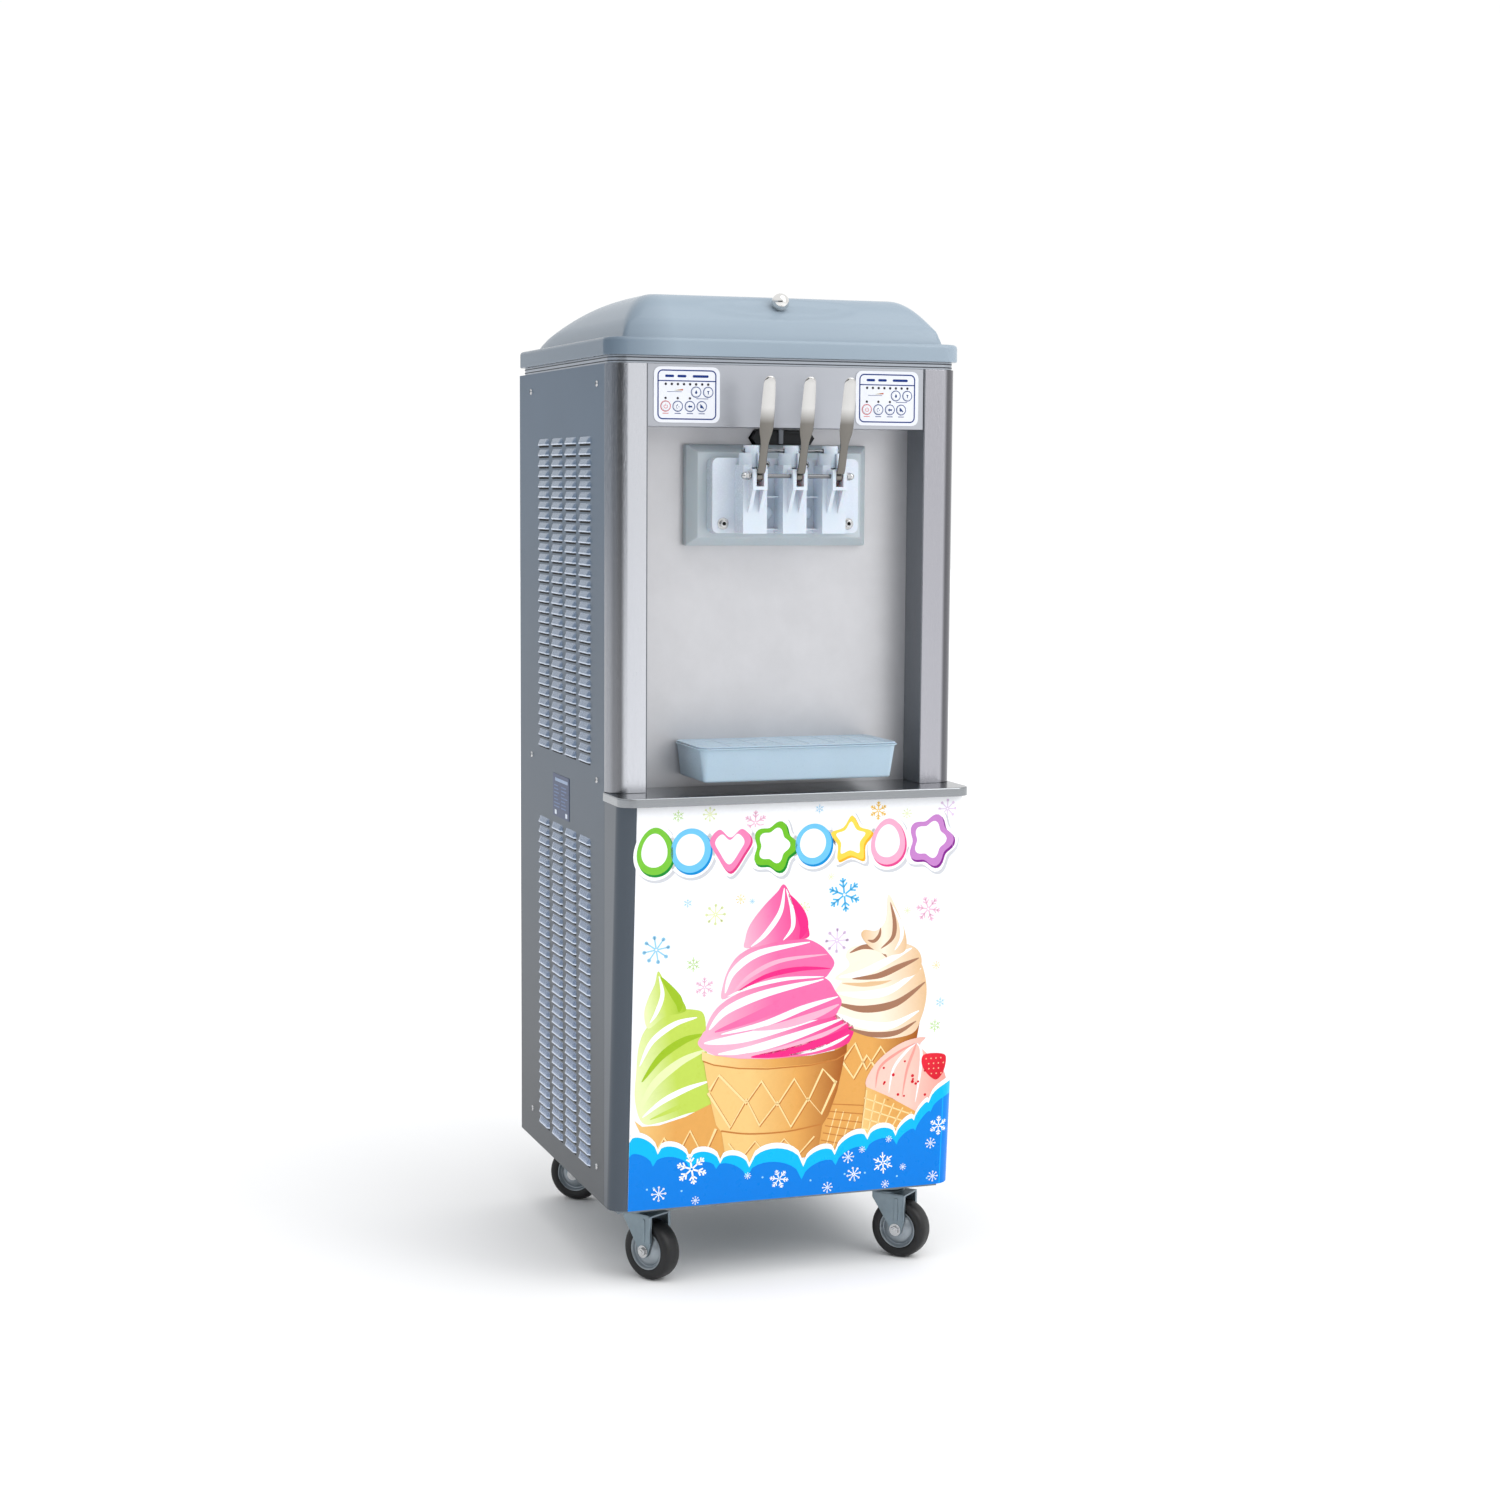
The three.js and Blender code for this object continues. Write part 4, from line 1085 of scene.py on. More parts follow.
class Drawing:
    """Inked shapes laid on a surface in thin films. surface(u, w, height) gives a point in machine mm."""

    film = 0.04

    def __init__(self, surface, cuts=()):
        self.surface, self.cuts = surface, list(cuts)
        self.shape, self.inks = Shape(), []

    def fill(self, outline, ink, layer):
        build = bmesh.new()
        build.faces.new([build.verts.new((u, w, 0)) for u, w in outline])
        self.lay(build, ink, layer)

    def strip(self, left, right, ink, layer):
        """A band between two lines with as many points each."""
        build = bmesh.new()
        rows = [(build.verts.new((*a, 0)), build.verts.new((*b, 0))) for a, b in zip(left, right)]
        for (a, b), (c, d) in zip(rows, rows[1:]):
            build.faces.new((a, b, d, c))
        self.lay(build, ink, layer)

    def stroke(self, line, width, ink, layer, taper=False):
        """A line of some width; a tapered one is pointed at both ends."""
        points = [Vector(point) for point in line]
        left, right = [], []
        for index, point in enumerate(points):
            along = points[min(index + 1, len(points) - 1)] - points[max(index - 1, 0)]
            across = Vector((-along.y, along.x)).normalized()
            share = math.sin(math.pi * (0.04 + 0.92 * index / (len(points) - 1))) if taper else 1
            left.append(point + across * width / 2 * share)
            right.append(point - across * width / 2 * share)
        self.strip(left, right, ink, layer)

    def lay(self, build, ink, layer):
        fade = ink if isinstance(ink, Fade) else None
        planes = self.cuts + (fade.cuts() if fade else [])
        for spot, normal in planes:
            bmesh.ops.bisect_plane(
                build, geom=build.verts[:] + build.edges[:] + build.faces[:], dist=1e-5,
                plane_co=(*spot, 0), plane_no=(*normal, 0),
            )
        bmesh.ops.triangulate(build, faces=build.faces[:])
        build.verts.index_update()
        top = 0.12 + 0.05 * layer
        flat = [(vert.co.x, vert.co.y) for vert in build.verts]
        count = len(flat)
        points = [self.surface(u, w, top) for u, w in flat] + [
            self.surface(u, w, top - self.film)
            for u, w in flat
        ]
        faces = []
        for face in build.faces:
            corners = [vert.index for vert in face.verts]
            faces += [corners, [count + index for index in reversed(corners)]]
        for edge in build.edges:
            if len(edge.link_faces) == 1:
                a, b = (vert.index for vert in edge.verts)
                faces.append([a, b, count + b, count + a])
        build.free()
        self.shape.add(points, faces)
        self.inks += [fade.at(u, w) if fade else ink for u, w in flat] * 2

    def make(self, name, material, body):
        return piece(name, self.shape, material, body, inks=self.inks)


def panel_point(u, w, height):
    """The leaning front: u to the right from its middle, w up the slope; the film turns the right corner."""
    flat_edge = HALF_WIDTH - LOWER_RADIUS
    angle = max(u - flat_edge, 0) / LOWER_RADIUS
    x = min(u, flat_edge) + (LOWER_RADIUS + height) * math.sin(angle)
    inward = LOWER_RADIUS - (LOWER_RADIUS + height) * math.cos(angle)
    y = bottom_y(LEAN) + inward * math.cos(LEAN) - w * math.sin(LEAN)
    return (x, y, CABINET_BOTTOM + inward * math.sin(LEAN) + w * math.cos(LEAN))


WHITE = srgb(250, 251, 253)
PINKS = [srgb(255, 178, 203), srgb(255, 110, 168), srgb(244, 42, 132)]
GREENS = [srgb(230, 240, 180), srgb(192, 216, 88), srgb(156, 192, 36)]
CREAMS = [srgb(252, 238, 218), srgb(228, 190, 146), srgb(164, 118, 92)]
WAFERS = [srgb(240, 200, 128), srgb(226, 166, 88), srgb(160, 84, 26)]
WAFER_LINE, WAFER_LIGHT = srgb(196, 124, 58), srgb(252, 222, 160)
SCOOPS = [srgb(250, 204, 190), srgb(238, 158, 148)]
BERRY = srgb(208, 22, 44)
SKY, DEEP = srgb(0, 186, 250), srgb(0, 124, 224)
PALES = {
    "blue": srgb(150, 208, 240), "green": srgb(190, 224, 140), "pink": srgb(240, 190, 214),
    "yellow": srgb(250, 220, 140), "cyan": srgb(84, 184, 236), "lime": srgb(228, 238, 178),
    "lilac": srgb(226, 204, 232), "gold": srgb(246, 200, 84),
}


def flake(drawing, u, w, radius, ink, layer, branches=2, arms=6, turn=0.0):
    """A snow star: arms with paired branches, or round buds when there are none."""
    line = max(radius * 0.11, 0.7)
    for arm in range(arms):
        angle = math.radians(turn + 90 + arm * 360 / arms)
        out = Vector((math.cos(angle), math.sin(angle)))
        side = Vector((-out.y, out.x))
        middle = Vector((u, w))
        drawing.stroke([middle + out * radius * 0.08, middle + out * radius], line, ink, layer)
        for branch in range(branches):
            foot = middle + out * radius * (0.45 + 0.28 * branch)
            reach = radius * (0.34 - 0.1 * branch)
            for sign in (-1, 1):
                drawing.stroke(
                    [foot, foot + (out + side * sign).normalized() * reach], line * 0.9, ink, layer
                )
        if not branches:
            drawing.fill(ring(radius * 0.16, 8, *(middle + out * radius * 0.92)), ink, layer)


def swirl_tier(drawing, outline, stripes, ink, layer):
    """One turn of soft ice: its filled outline and the tapered streaks on it."""
    drawing.fill(spline(outline, 5), ink, layer)
    for points, width, colour in stripes:
        drawing.stroke(spline(points, 8, closed=False), width, colour, layer + 1, taper=True)


def pink_swirl(drawing):
    light, middle, strong = PINKS
    swirl_tier(
        drawing,
        [(-143, 246), (-139, 259), (-126, 270), (-70, 280), (0, 286), (60, 284), (88, 272),
         (101, 256), (98, 241),
         (86, 229), (35, 219), (-34, 217), (-93, 222), (-124, 232)],
        [([(-134, 248), (-80, 252), (-10, 266), (70, 282)], 17, WHITE),
         ([(-112, 230), (-60, 234), (10, 250), (84, 272)], 13, WHITE),
         ([(-60, 222), (0, 226), (60, 240), (98, 258)], 15, strong),
         ([(-86, 226), (-20, 230), (50, 248), (92, 266)], 8, light),
         ([(0, 221), (40, 226), (74, 236), (94, 246)], 6, WHITE)],
        Fade((-143, 240), (100, 250), light, light, middle, strong), 2,
    )
    swirl_tier(
        drawing,
        [(-131, 262), (-128, 282), (-112, 304), (-80, 322), (-30, 336), (20, 342), (55, 334),
         (70, 314), (80, 299),
         (76, 286), (64, 275), (10, 270), (-60, 262), (-108, 256)],
        [([(-127, 268), (-100, 296), (-40, 318), (50, 334)], 13, WHITE),
         ([(-118, 264), (-60, 282), (0, 304), (66, 318)], 15, middle),
         ([(-108, 260), (-40, 272), (20, 292), (74, 306)], 10, WHITE),
         ([(-60, 263), (-10, 268), (40, 280), (76, 294)], 12, light)],
        Fade((-131, 280), (80, 300), light, middle, middle), 4,
    )
    swirl_tier(
        drawing,
        [(-108, 313), (-107, 336), (-98, 361), (-82, 380), (-52, 393), (-14, 399), (20, 397),
         (42, 387), (55, 375),
         (66, 359), (60, 345), (48, 335), (10, 332), (-40, 332), (-80, 324)],
        [([(-104, 322), (-92, 354), (-52, 380), (26, 392)], 11, WHITE),
         ([(-92, 322), (-66, 346), (-20, 366), (54, 372)], 7, light),
         ([(-84, 324), (-40, 344), (10, 352), (60, 350)], 8, strong),
         ([(-100, 317), (-60, 330), (-10, 338), (50, 338)], 6, WHITE)],
        Fade((-108, 340), (66, 360), light, middle, middle), 6,
    )
    swirl_tier(
        drawing,
        [(-17, 481), (-2, 456), (14, 434), (24, 410), (20, 398), (-20, 396), (-72, 388), (-75, 402),
         (-68, 424),
         (-48, 450), (-28, 470)],
        [([(-17, 476), (-22, 440), (-44, 408), (-66, 390)], 8, WHITE),
         ([(-14, 474), (-4, 444), (-2, 416), (-16, 397)], 7, WHITE),
         ([(-10, 466), (8, 440), (16, 416), (10, 398)], 15, strong)],
        Fade((-75, 400), (24, 420), light, middle, strong), 8,
    )


def green_swirl(drawing):
    light, middle, strong = GREENS
    swirl_tier(
        drawing,
        [(-226, 134), (-238, 170), (-237, 210), (-234, 250), (-222, 278), (-190, 300), (-150, 300),
         (-134, 288),
         (-130, 240), (-122, 190), (-122, 152), (-160, 142), (-200, 132)],
        [([(-232, 150), (-210, 190), (-170, 222), (-130, 238)], 13, light),
         ([(-226, 142), (-196, 164), (-160, 180), (-124, 190)], 9, WHITE),
         ([(-232, 220), (-214, 256), (-180, 280), (-146, 288)], 9, WHITE),
         ([(-228, 196), (-200, 232), (-166, 254), (-134, 262)], 12, strong),
         ([(-214, 138), (-180, 150), (-150, 160), (-122, 168)], 8, middle)],
        Fade((-238, 220), (-124, 240), light, middle, middle), 0,
    )
    swirl_tier(
        drawing,
        [(-207, 361), (-194, 340), (-174, 322), (-163, 302), (-172, 296), (-196, 292), (-220, 276),
         (-227, 298),
         (-222, 320), (-212, 342)],
        [([(-206, 354), (-200, 326), (-208, 300), (-218, 284)], 7, WHITE),
         ([(-203, 352), (-184, 328), (-174, 312), (-174, 298)], 13, strong)],
        Fade((-226, 310), (-164, 320), light, middle, strong), 2,
    )


def cream_swirl(drawing):
    light, middle, strong = CREAMS
    swirl_tier(
        drawing,
        [(66, 279), (70, 296), (68, 312), (84, 334), (110, 350), (160, 362), (200, 356), (214, 328),
         (217, 296),
         (210, 264), (196, 241), (150, 236), (110, 248), (84, 266)],
        [([(72, 280), (110, 262), (160, 256), (206, 276)], 13, WHITE),
         ([(72, 296), (116, 284), (168, 290), (214, 320)], 12, strong),
         ([(72, 312), (116, 306), (160, 312), (206, 342)], 13, WHITE),
         ([(92, 256), (130, 244), (170, 244), (202, 260)], 9, strong),
         ([(80, 326), (120, 322), (160, 330), (196, 354)], 8, middle)],
        Fade((66, 290), (217, 300), light, light, middle), 2,
    )
    swirl_tier(
        drawing,
        [(68, 334), (90, 352), (84, 368), (92, 380), (118, 384), (160, 386), (196, 374), (207, 352),
         (196, 332),
         (150, 326), (100, 328)],
        [([(74, 336), (110, 340), (150, 356), (190, 374)], 12, WHITE),
         ([(90, 372), (112, 380), (136, 376), (150, 362)], 8, strong),
         ([(96, 332), (136, 334), (170, 346), (202, 358)], 10, strong)],
        Fade((70, 350), (207, 350), light, light, middle), 4,
    )
    swirl_tier(
        drawing,
        [(148, 458), (162, 436), (174, 410), (181, 384), (176, 368), (150, 366), (124, 378),
         (108, 396), (112, 406),
         (132, 404), (146, 420)],
        [([(152, 446), (160, 416), (158, 392), (140, 376)], 7, strong),
         ([(156, 440), (170, 412), (172, 390), (162, 372)], 6, WHITE),
         ([(138, 408), (136, 396), (128, 388), (118, 390)], 6, strong)],
        Fade((108, 400), (181, 400), middle, light, middle), 6,
    )


def zigzag(drawing, points, layer, width=4.0):
    """A raised waffle line: its shade to the lower right and its light edge on top."""
    drawing.stroke([(u + 1.4, w - 1.2) for u, w in points], width + 0.8, WAFER_LINE, layer)
    drawing.stroke(points, width, WAFER_LIGHT, layer + 1)


def wafers(drawing):
    light, middle, dark = WAFERS
    far = Fade((60, 200), (206, 200), middle, middle, dark)
    drawing.fill(
        [
            (80, 262), (96, 252), (130, 242), (170, 238), (196, 242), (208, 258), (202, 216), (186, 180),
            (150, 60), (40, 60), (48, 120), (62, 180)
        ],
        far, 0
    )
    zigzag(drawing, [(86, 208), (104, 232), (124, 190), (146, 224), (164, 198), (186, 222)], 1)
    zigzag(drawing, [(84, 206), (104, 178), (124, 212), (140, 190)], 1)
    for step in range(7):
        drawing.stroke([(60 + step * 12, 60), (78 + step * 12, 132 - step * 5)], 1.6, WAFER_LIGHT, 1)
        drawing.stroke(
            [(52 + step * 3, 74 + step * 11), (140 - step * 3, 50 + step * 14)], 1.6, WAFER_LINE, 1
        )
    near = Fade((-240, 120), (-110, 120), light, middle, middle)
    drawing.fill(
        [
            (-238, 138), (-226, 128), (-200, 128), (-160, 138), (-118, 156), (-100, 120), (-84, 60),
            (-200, 60)
        ],
        near, 4
    )
    zigzag(drawing, [(-206, 84), (-192, 108), (-172, 78), (-152, 116), (-130, 74), (-112, 116)], 5)
    cup = Fade((-137, 150), (90, 150), light, light, middle, dark)
    top = [(-137, 236), (-120, 229), (-80, 221), (-34, 217), (35, 218), (76, 224), (91, 232)]
    drawing.fill(
        top + [
            (84, 190), (78, 160), (66, 124), (56, 108), (50, 60), (-94, 60), (-103, 110), (-112, 122),
            (-122, 160), (-130, 200)
        ],
        cup, 10
    )
    rim = [(u, w - 13) for u, w in top]
    drawing.strip(top, rim, Fade((-137, 230), (90, 230), srgb(248, 216, 150), middle, dark), 11)
    drawing.stroke([(u * 0.985, w - 15) for u, w in top], 2.0, WAFER_LINE, 12)
    drawing.stroke(
        spline([(-104, 112), (-60, 104), (0, 103), (54, 110)], 5, closed=False), 2.4, WAFER_LINE, 12
    )
    upper = [
        (-124, 176), (-110, 198), (-66, 152), (-43, 184), (-17, 145), (9, 184), (32, 148), (54, 196),
        (76, 172)
    ]
    lower = [
        (-126, 172), (-90, 116), (-66, 158), (-44, 116), (-17, 150), (6, 110), (32, 152), (54, 126),
        (76, 176)
    ]
    zigzag(drawing, upper, 12)
    zigzag(drawing, lower, 12)
    zigzag(drawing, [(-92, 92), (-72, 66), (-50, 92), (-28, 66), (-4, 92), (20, 66), (44, 92)], 12, 2.4)
    small = Fade((120, 110), (210, 120), light, middle, middle)
    drawing.fill(
        [(125, 163), (160, 146), (208, 118), (196, 84), (176, 60), (118, 60), (120, 100)], small, 12
    )
    for step in range(6):
        drawing.stroke([(126 + step * 15, 158 - step * 8), (118 + step * 9, 70)], 2.0, WAFER_LIGHT, 13)
        drawing.stroke([(122, 146 - step * 16), (206 - step * 6, 112 - step * 12)], 2.0, WAFER_LIGHT, 13)


def berry_scoop(drawing, chance):
    light, strong = SCOOPS
    outline = [
        (125, 163), (134, 192), (156, 214), (186, 230), (218, 234), (210, 222), (226, 204), (248, 184),
        (256, 158), (234, 138), (208, 117), (168, 142)
    ]
    drawing.fill(spline(outline, 5), Fade((125, 160), (256, 170), light, light, strong), 10)
    for offset in range(4):
        start = (140 + offset * 22, 160 - offset * 9)
        drawing.stroke(
            spline(
                [start, (146 + offset * 22, 192 - offset * 4), (176 + offset * 12, 214), (204, 226)], 6,
                closed=False
            ),
            4.5, WHITE if offset % 2 else strong, 11, taper=True
        )
    for _ in range(16):
        u = chance.uniform(148, 238)
        w = chance.uniform(140, 212) - abs(u - 190) * 0.3
        drawing.fill(ring(chance.uniform(1.6, 2.6), 10, u, w), BERRY, 12)
    fruit = [(238, 166), (224, 176), (214, 192), (216, 206), (234, 208), (252, 204), (254, 190), (248, 174)]
    drawing.fill(spline(fruit, 5), Fade((214, 200), (254, 170), srgb(232, 40, 60), BERRY), 12)
    for row in range(4):
        for column in range(4 - row // 2):
            u = 221 + column * 8 + row * 2.5 + (row % 2) * 2
            drawing.fill(ring(1.2, 6, u, 200 - row * 8), srgb(250, 196, 160), 13)


def cloud_line(valleys, swell):
    """Scallops from valley to valley: each is a round hump over the line between them."""
    points = []
    for (u0, w0), (u1, w1) in zip(valleys, valleys[1:]):
        steps = 10
        for step in range(steps):
            t = step / steps
            hump = math.sqrt(max(1 - (2 * t - 1) ** 2, 0)) * (u1 - u0) * swell
            points.append((u0 + (u1 - u0) * t, w0 + (w1 - w0) * t + hump))
    return points + [valleys[-1]]


def clouds(drawing, edge):
    valleys = [
        (-245, 105), (-201, 84), (-152, 70), (-104, 62), (-58, 52), (28, 46), (78, 60), (130, 80),
        (176, 82), (205, 104), (228, 130), (edge, 152)
    ]
    for raise_by, swell, ink, layer in ((7, 0.36, WHITE, 14), (0, 0.34, SKY, 15)):
        line = cloud_line([(u, w + raise_by) for u, w in valleys], swell)
        drawing.strip(line, [(u, 0) for u, _ in line], ink, layer)
    inner = [
        (-245, 82), (-208, 66), (-150, 56), (-110, 54), (-62, 36), (26, 26), (80, 44), (128, 62), (178, 68),
        (208, 88), (232, 116), (edge, 134)
    ]
    line = cloud_line(inner, 0.3)
    drawing.strip(line, [(u, 0) for u, _ in line], Fade((0, 0), (0, 150), DEEP, srgb(0, 133, 230)), 16)


def bubble(kind, size):
    """Outlines of the toy shapes in the top row."""
    if kind == "egg":
        return [(x * (0.84 - 0.12 * y / size), y) for x, y in ring(size, 40)]
    if kind == "star":
        tips = [(math.radians(36 * k), size * (1.12 if k % 2 == 0 else 0.72)) for k in range(10)]
        return spline([(r * math.sin(turn), r * math.cos(turn)) for turn, r in tips], 4)
    if kind == "heart":
        half = [(0, -1), (0.7, -0.2), (1, 0.4), (0.55, 0.86), (0, 0.5)]
        whole = half + [(-x, y) for x, y in reversed(half[1:-1])]
        return spline([(x * size, y * size) for x, y in whole], 6)
    if kind == "flower":
        petals = [(x, y, 1 + 0.14 * math.cos(5 * math.atan2(y, x))) for x, y in ring(size, 50)]
        return [(x * swell, y * swell) for x, y, swell in petals]
    return ring(size, 40)


def toy_row(drawing):
    """Eight bright toy shapes with a white middle, a two-tone outline and a soft shade."""
    row = [
        (-216, 538, 33, "egg", (120, 196, 60), (20, 140, 50)),
        (-162, 537, 31, "round", (110, 196, 240), (0, 140, 210)),
        (-102, 537, 32, "heart", (240, 130, 180), (220, 60, 130)),
        (-34, 538, 32, "flower", (110, 190, 40), (20, 140, 40)),
        (27, 539, 29, "round", (110, 196, 240), (0, 140, 210)),
        (86, 543, 31, "star", (250, 214, 80), (246, 178, 30)),
        (145, 538, 33, "egg", (248, 170, 200), (226, 70, 140)),
        (213, 537, 34, "flower", (196, 130, 200), (130, 30, 140)),
    ]
    for u, w, size, kind, bright, deep in row:
        for scale, shift, ink, layer in (
            (1.20, (3.2, -3.4), srgb(206, 208, 214), 5), (1.18, (0, 0), WHITE, 6),
            (1.0, (1.6, -2.0), srgb(*deep), 7),
            (0.98, (-0.6, 0.8), srgb(*bright), 8), (0.70, (-1.6, 2.0), WHITE, 9),
        ):
            outline = [
                (u + shift[0] + x * scale, w + shift[1] + y * scale * 1.08)
                for x, y in bubble(kind, size)
            ]
            drawing.fill(outline, ink, layer)


def front_print():
    edge = HALF_WIDTH - LOWER_RADIUS + LOWER_RADIUS * math.radians(70)
    wrap = [((HALF_WIDTH - LOWER_RADIUS + step * 3.6, 0), (1, 0)) for step in range(9)]
    height = (limits("front_panel")[5] - CABINET_BOTTOM) / math.cos(LEAN) - 1.5
    ground = Drawing(panel_point, wrap)
    ground.fill(
        [(-PANEL_HALF + 0.5, 0.5), (edge, 0.5), (edge, height), (-PANEL_HALF + 0.5, height)],
        srgb(248, 250, 253), -1
    )
    ground.make("print_ground", PRINT_FILM, "cabinet")
    chance = random.Random(7)
    cones = Drawing(panel_point, wrap)
    wafers(cones)
    berry_scoop(cones, chance)
    cones.make("print_cones", PRINT_FILM, "cabinet")
    ice = Drawing(panel_point)
    cream_swirl(ice)
    green_swirl(ice)
    pink_swirl(ice)
    ice.make("print_swirls", PRINT_FILM, "cabinet")
    sky = Drawing(panel_point, wrap)
    clouds(sky, edge)
    for u, w, radius, branches, turn in (
        (-148, 57, 24, 2, 10), (-198, 23, 11, 0, 0), (-10, 30, 15, 2, 20), (100, 55, 9, 0, 0),
        (110, 27, 11, 0, 10),
        (157, 41, 17, 1, 5), (68, 10, 8, 0, 0), (190, 32, 5, 0, 0), (246, 93, 15, 2, 0), (234, 66, 8, 0, 0),
        (240, 13, 8, 0, 0), (-60, 39, 5, 0, 0), (-141, 8, 6, 0, 0), (162, 7, 6, 0, 0), (122, 65, 5, 0, 0),
        (165, 78, 5, 0, 0),
    ):
        flake(sky, u, w, radius, WHITE, 17, branches, 8 if not branches else 6, turn)
    for _ in range(12):
        sky.fill(ring(1.6, 8, chance.uniform(-235, 240), chance.uniform(6, 44)), srgb(150, 214, 250), 17)
    sky.make("print_clouds", PRINT_FILM, "cabinet")
    air = Drawing(panel_point, wrap)
    toy_row(air)
    for u, w, radius, ink, branches, turn in (
        (78, 461, 26, "cyan", 2, 8), (214, 433, 20, "pink", 2, 20), (-122, 441, 15, "lime", 0, 0),
        (-165, 460, 7, "blue", 1, 0),
        (-211, 393, 20, "blue", 0, 10), (-154, 368, 11, "green", 1, 0), (-136, 333, 15, "pink", 2, 0),
        (69, 392, 18, "lilac", 0, 0), (240, 287, 8, "blue", 1, 0), (233, 251, 10, "green", 1, 0),
        (231, 345, 6, "yellow", 0, 0),
        (-84, 462, 7, "yellow", 0, 0), (-66, 458, 4, "blue", 0, 0), (16, 445, 8, "lime", 0, 0),
        (180, 432, 5, "lime", 0, 0),
        (-183, 589, 9, "green", 1, 0), (-135, 590, 10, "lime", 0, 0), (-65, 575, 18, "pink", 2, 0),
        (34, 592, 7, "blue", 1, 0),
        (127, 586, 14, "gold", 2, 0), (173, 580, 7, "lime", 0, 0), (238, 585, 14, "lilac", 0, 0),
        (56, 489, 5, "lime", 0, 0),
    ):
        flake(air, u, w, radius, PALES[ink], 1, branches, 8 if not branches else 6, turn)
    air.make("print_toys_and_flakes", PRINT_FILM, "cabinet")


# ---------- keypads and info plate ----------

NAVY = srgb(22, 50, 122)
INK_DARK = srgb(52, 48, 56)


def key_places(side):
    """Middle of each key on its keypad, u and w in millimetres from the keypad's middle."""
    x0, x1, _, _, z0, z1 = limits(f"{side}_keypad")
    places = []
    for number in range(1, 7):
        a0, a1, _, _, c0, c1 = limits(f"{side}_key_{number}")
        places.append(((a0 + a1 - x0 - x1) / 2, (c0 + c1 - z0 - z1) / 2))
    return places


def keypad_prints():
    for side, _ in SIDES:
        x0, x1, face, _, z0, z1 = limits(f"{side}_keypad")
        x, z = (x0 + x1) / 2, (z0 + z1) / 2
        sheet = Drawing(lambda u, w, height, x=x, z=z, face=face: (x + u, face - height, z + w))
        outline = round_rect(-43.5, 43.5, -34.5, 34.5, 7, 8)
        outline.append(outline[0])
        sheet.stroke(outline, 1.8, NAVY, 0)
        sheet.stroke([(-43.5, 19.6), (43.5, 19.6)], 1.5, NAVY, 0)
        for start in (-33, -14.5, 8.5):
            width = 13.5 if start < 8 else 24
            sheet.fill(round_rect(start, start + width, 24.6, 28.2, 1.7, 4), NAVY, 0)
        for k in range(8):
            sheet.fill(ring(1.9, 16, -32 + k * 9.14, 15.0), INK_DARK, 0)
        for u in (-32.2, -13.9, 4.4):
            sheet.fill(ring(1.8, 16, u, -5.0), INK_DARK, 0)
        sheet.fill(
            [(-20, 6.0), (-6, 8.2), (-6, 6.0)],
            Fade((-20, 6), (-6, 6), srgb(140, 170, 60), srgb(190, 70, 50)), 0
        )
        sheet.stroke([(-30, 4.2), (-8, 4.2)], 0.6, NAVY, 0)
        places = key_places(side)
        for number, (u, w) in enumerate(places):
            red = number == 2
            circle = [(u + a, w + b) for a, b in ring(7.4, 36)]
            circle.append(circle[0])
            sheet.stroke(circle, 1.0, srgb(204, 84, 92) if red else srgb(36, 66, 132), 0)
            caption = w - 10.2
            if number >= 2:
                sheet.stroke(
                    [(u - 4.6, caption), (u + 4.6, caption)], 1.0, srgb(206, 110, 110) if red else NAVY, 0
                )
        sheet.stroke([(14, -5.4), (32, -5.4)], 0.8, NAVY, 0)
        sheet.make(f"{side}_keypad_print", KEY_FILM, "cabinet")
        for number in range(1, 7):
            key(side, number)


def key(side, number):
    """A domed key cap with its own small sign."""
    x0, x1, y0, y1, z0, z1 = limits(f"{side}_key_{number}")
    x, z, radius = (x0 + x1) / 2, (z0 + z1) / 2, (x1 - x0) / 2
    profile = [
        (0, 0), (radius, 0), (radius, 2.7), (radius - 0.25, 3.05), (radius - 0.8, 3.22),
        (radius * 0.6, 3.32), (0, 3.38)
    ]
    cap = lathe(profile, 40).moved(placed(x, y1, z, (0, -1, 0)))
    body = f"{side}_button_{number}"
    piece(f"{side}_key_cap_{number}", cap, LABEL_FILM, body, [f"{side}_key_{number}"])
    sign = Drawing(lambda u, w, height: (x + u, y0 - height * 0.5 + 0.02 * (u * u + w * w) ** 0.5, z + w))
    ink = srgb(206, 96, 104) if number == 3 else srgb(40, 66, 120)
    if number == 1:
        sign.fill([(-1.8, -0.6), (0, 3.2), (1.8, -0.6), (0.9, -2.6), (-0.9, -2.6)], ink, 0)
    elif number == 2:
        sign.fill([(-2.0, 1.8), (2.0, 1.8), (0.6, -0.2), (0.6, -3.0), (-0.6, -3.0), (-0.6, -0.2)], ink, 0)
    elif number == 3:
        arch = arc(0, -0.3, 2.7, 130, 410, 16)
        sign.stroke(arch, 0.8, ink, 0)
        sign.stroke([(0, 0), (0, 3.4)], 0.8, ink, 0)
    elif number == 4:
        sign.stroke(arc(0.6, -0.6, 3.0, 100, 250, 12), 0.6, ink, 0)
        sign.fill(ring(0.9, 10, -0.6, 1.8), ink, 0)
        sign.fill(ring(0.7, 10, 1.6, -0.8), ink, 0)
    elif number == 5:
        sign.fill(
            [(-3.4, -0.2), (-0.6, 2.2), (-0.6, 0.9), (3.2, 0.9), (3.2, -1.4), (-0.6, -1.4), (-0.6, -2.6)],
            ink, 0
        )
    else:
        sign.stroke([(-2.6, 2.8), (0.4, -0.2), (2.6, -3.0)], 1.9, ink, 0)
        sign.fill(ring(1.9, 14, -0.9, -0.6), ink, 1)
    sign.make(f"{side}_key_sign_{number}", KEY_FILM, body)


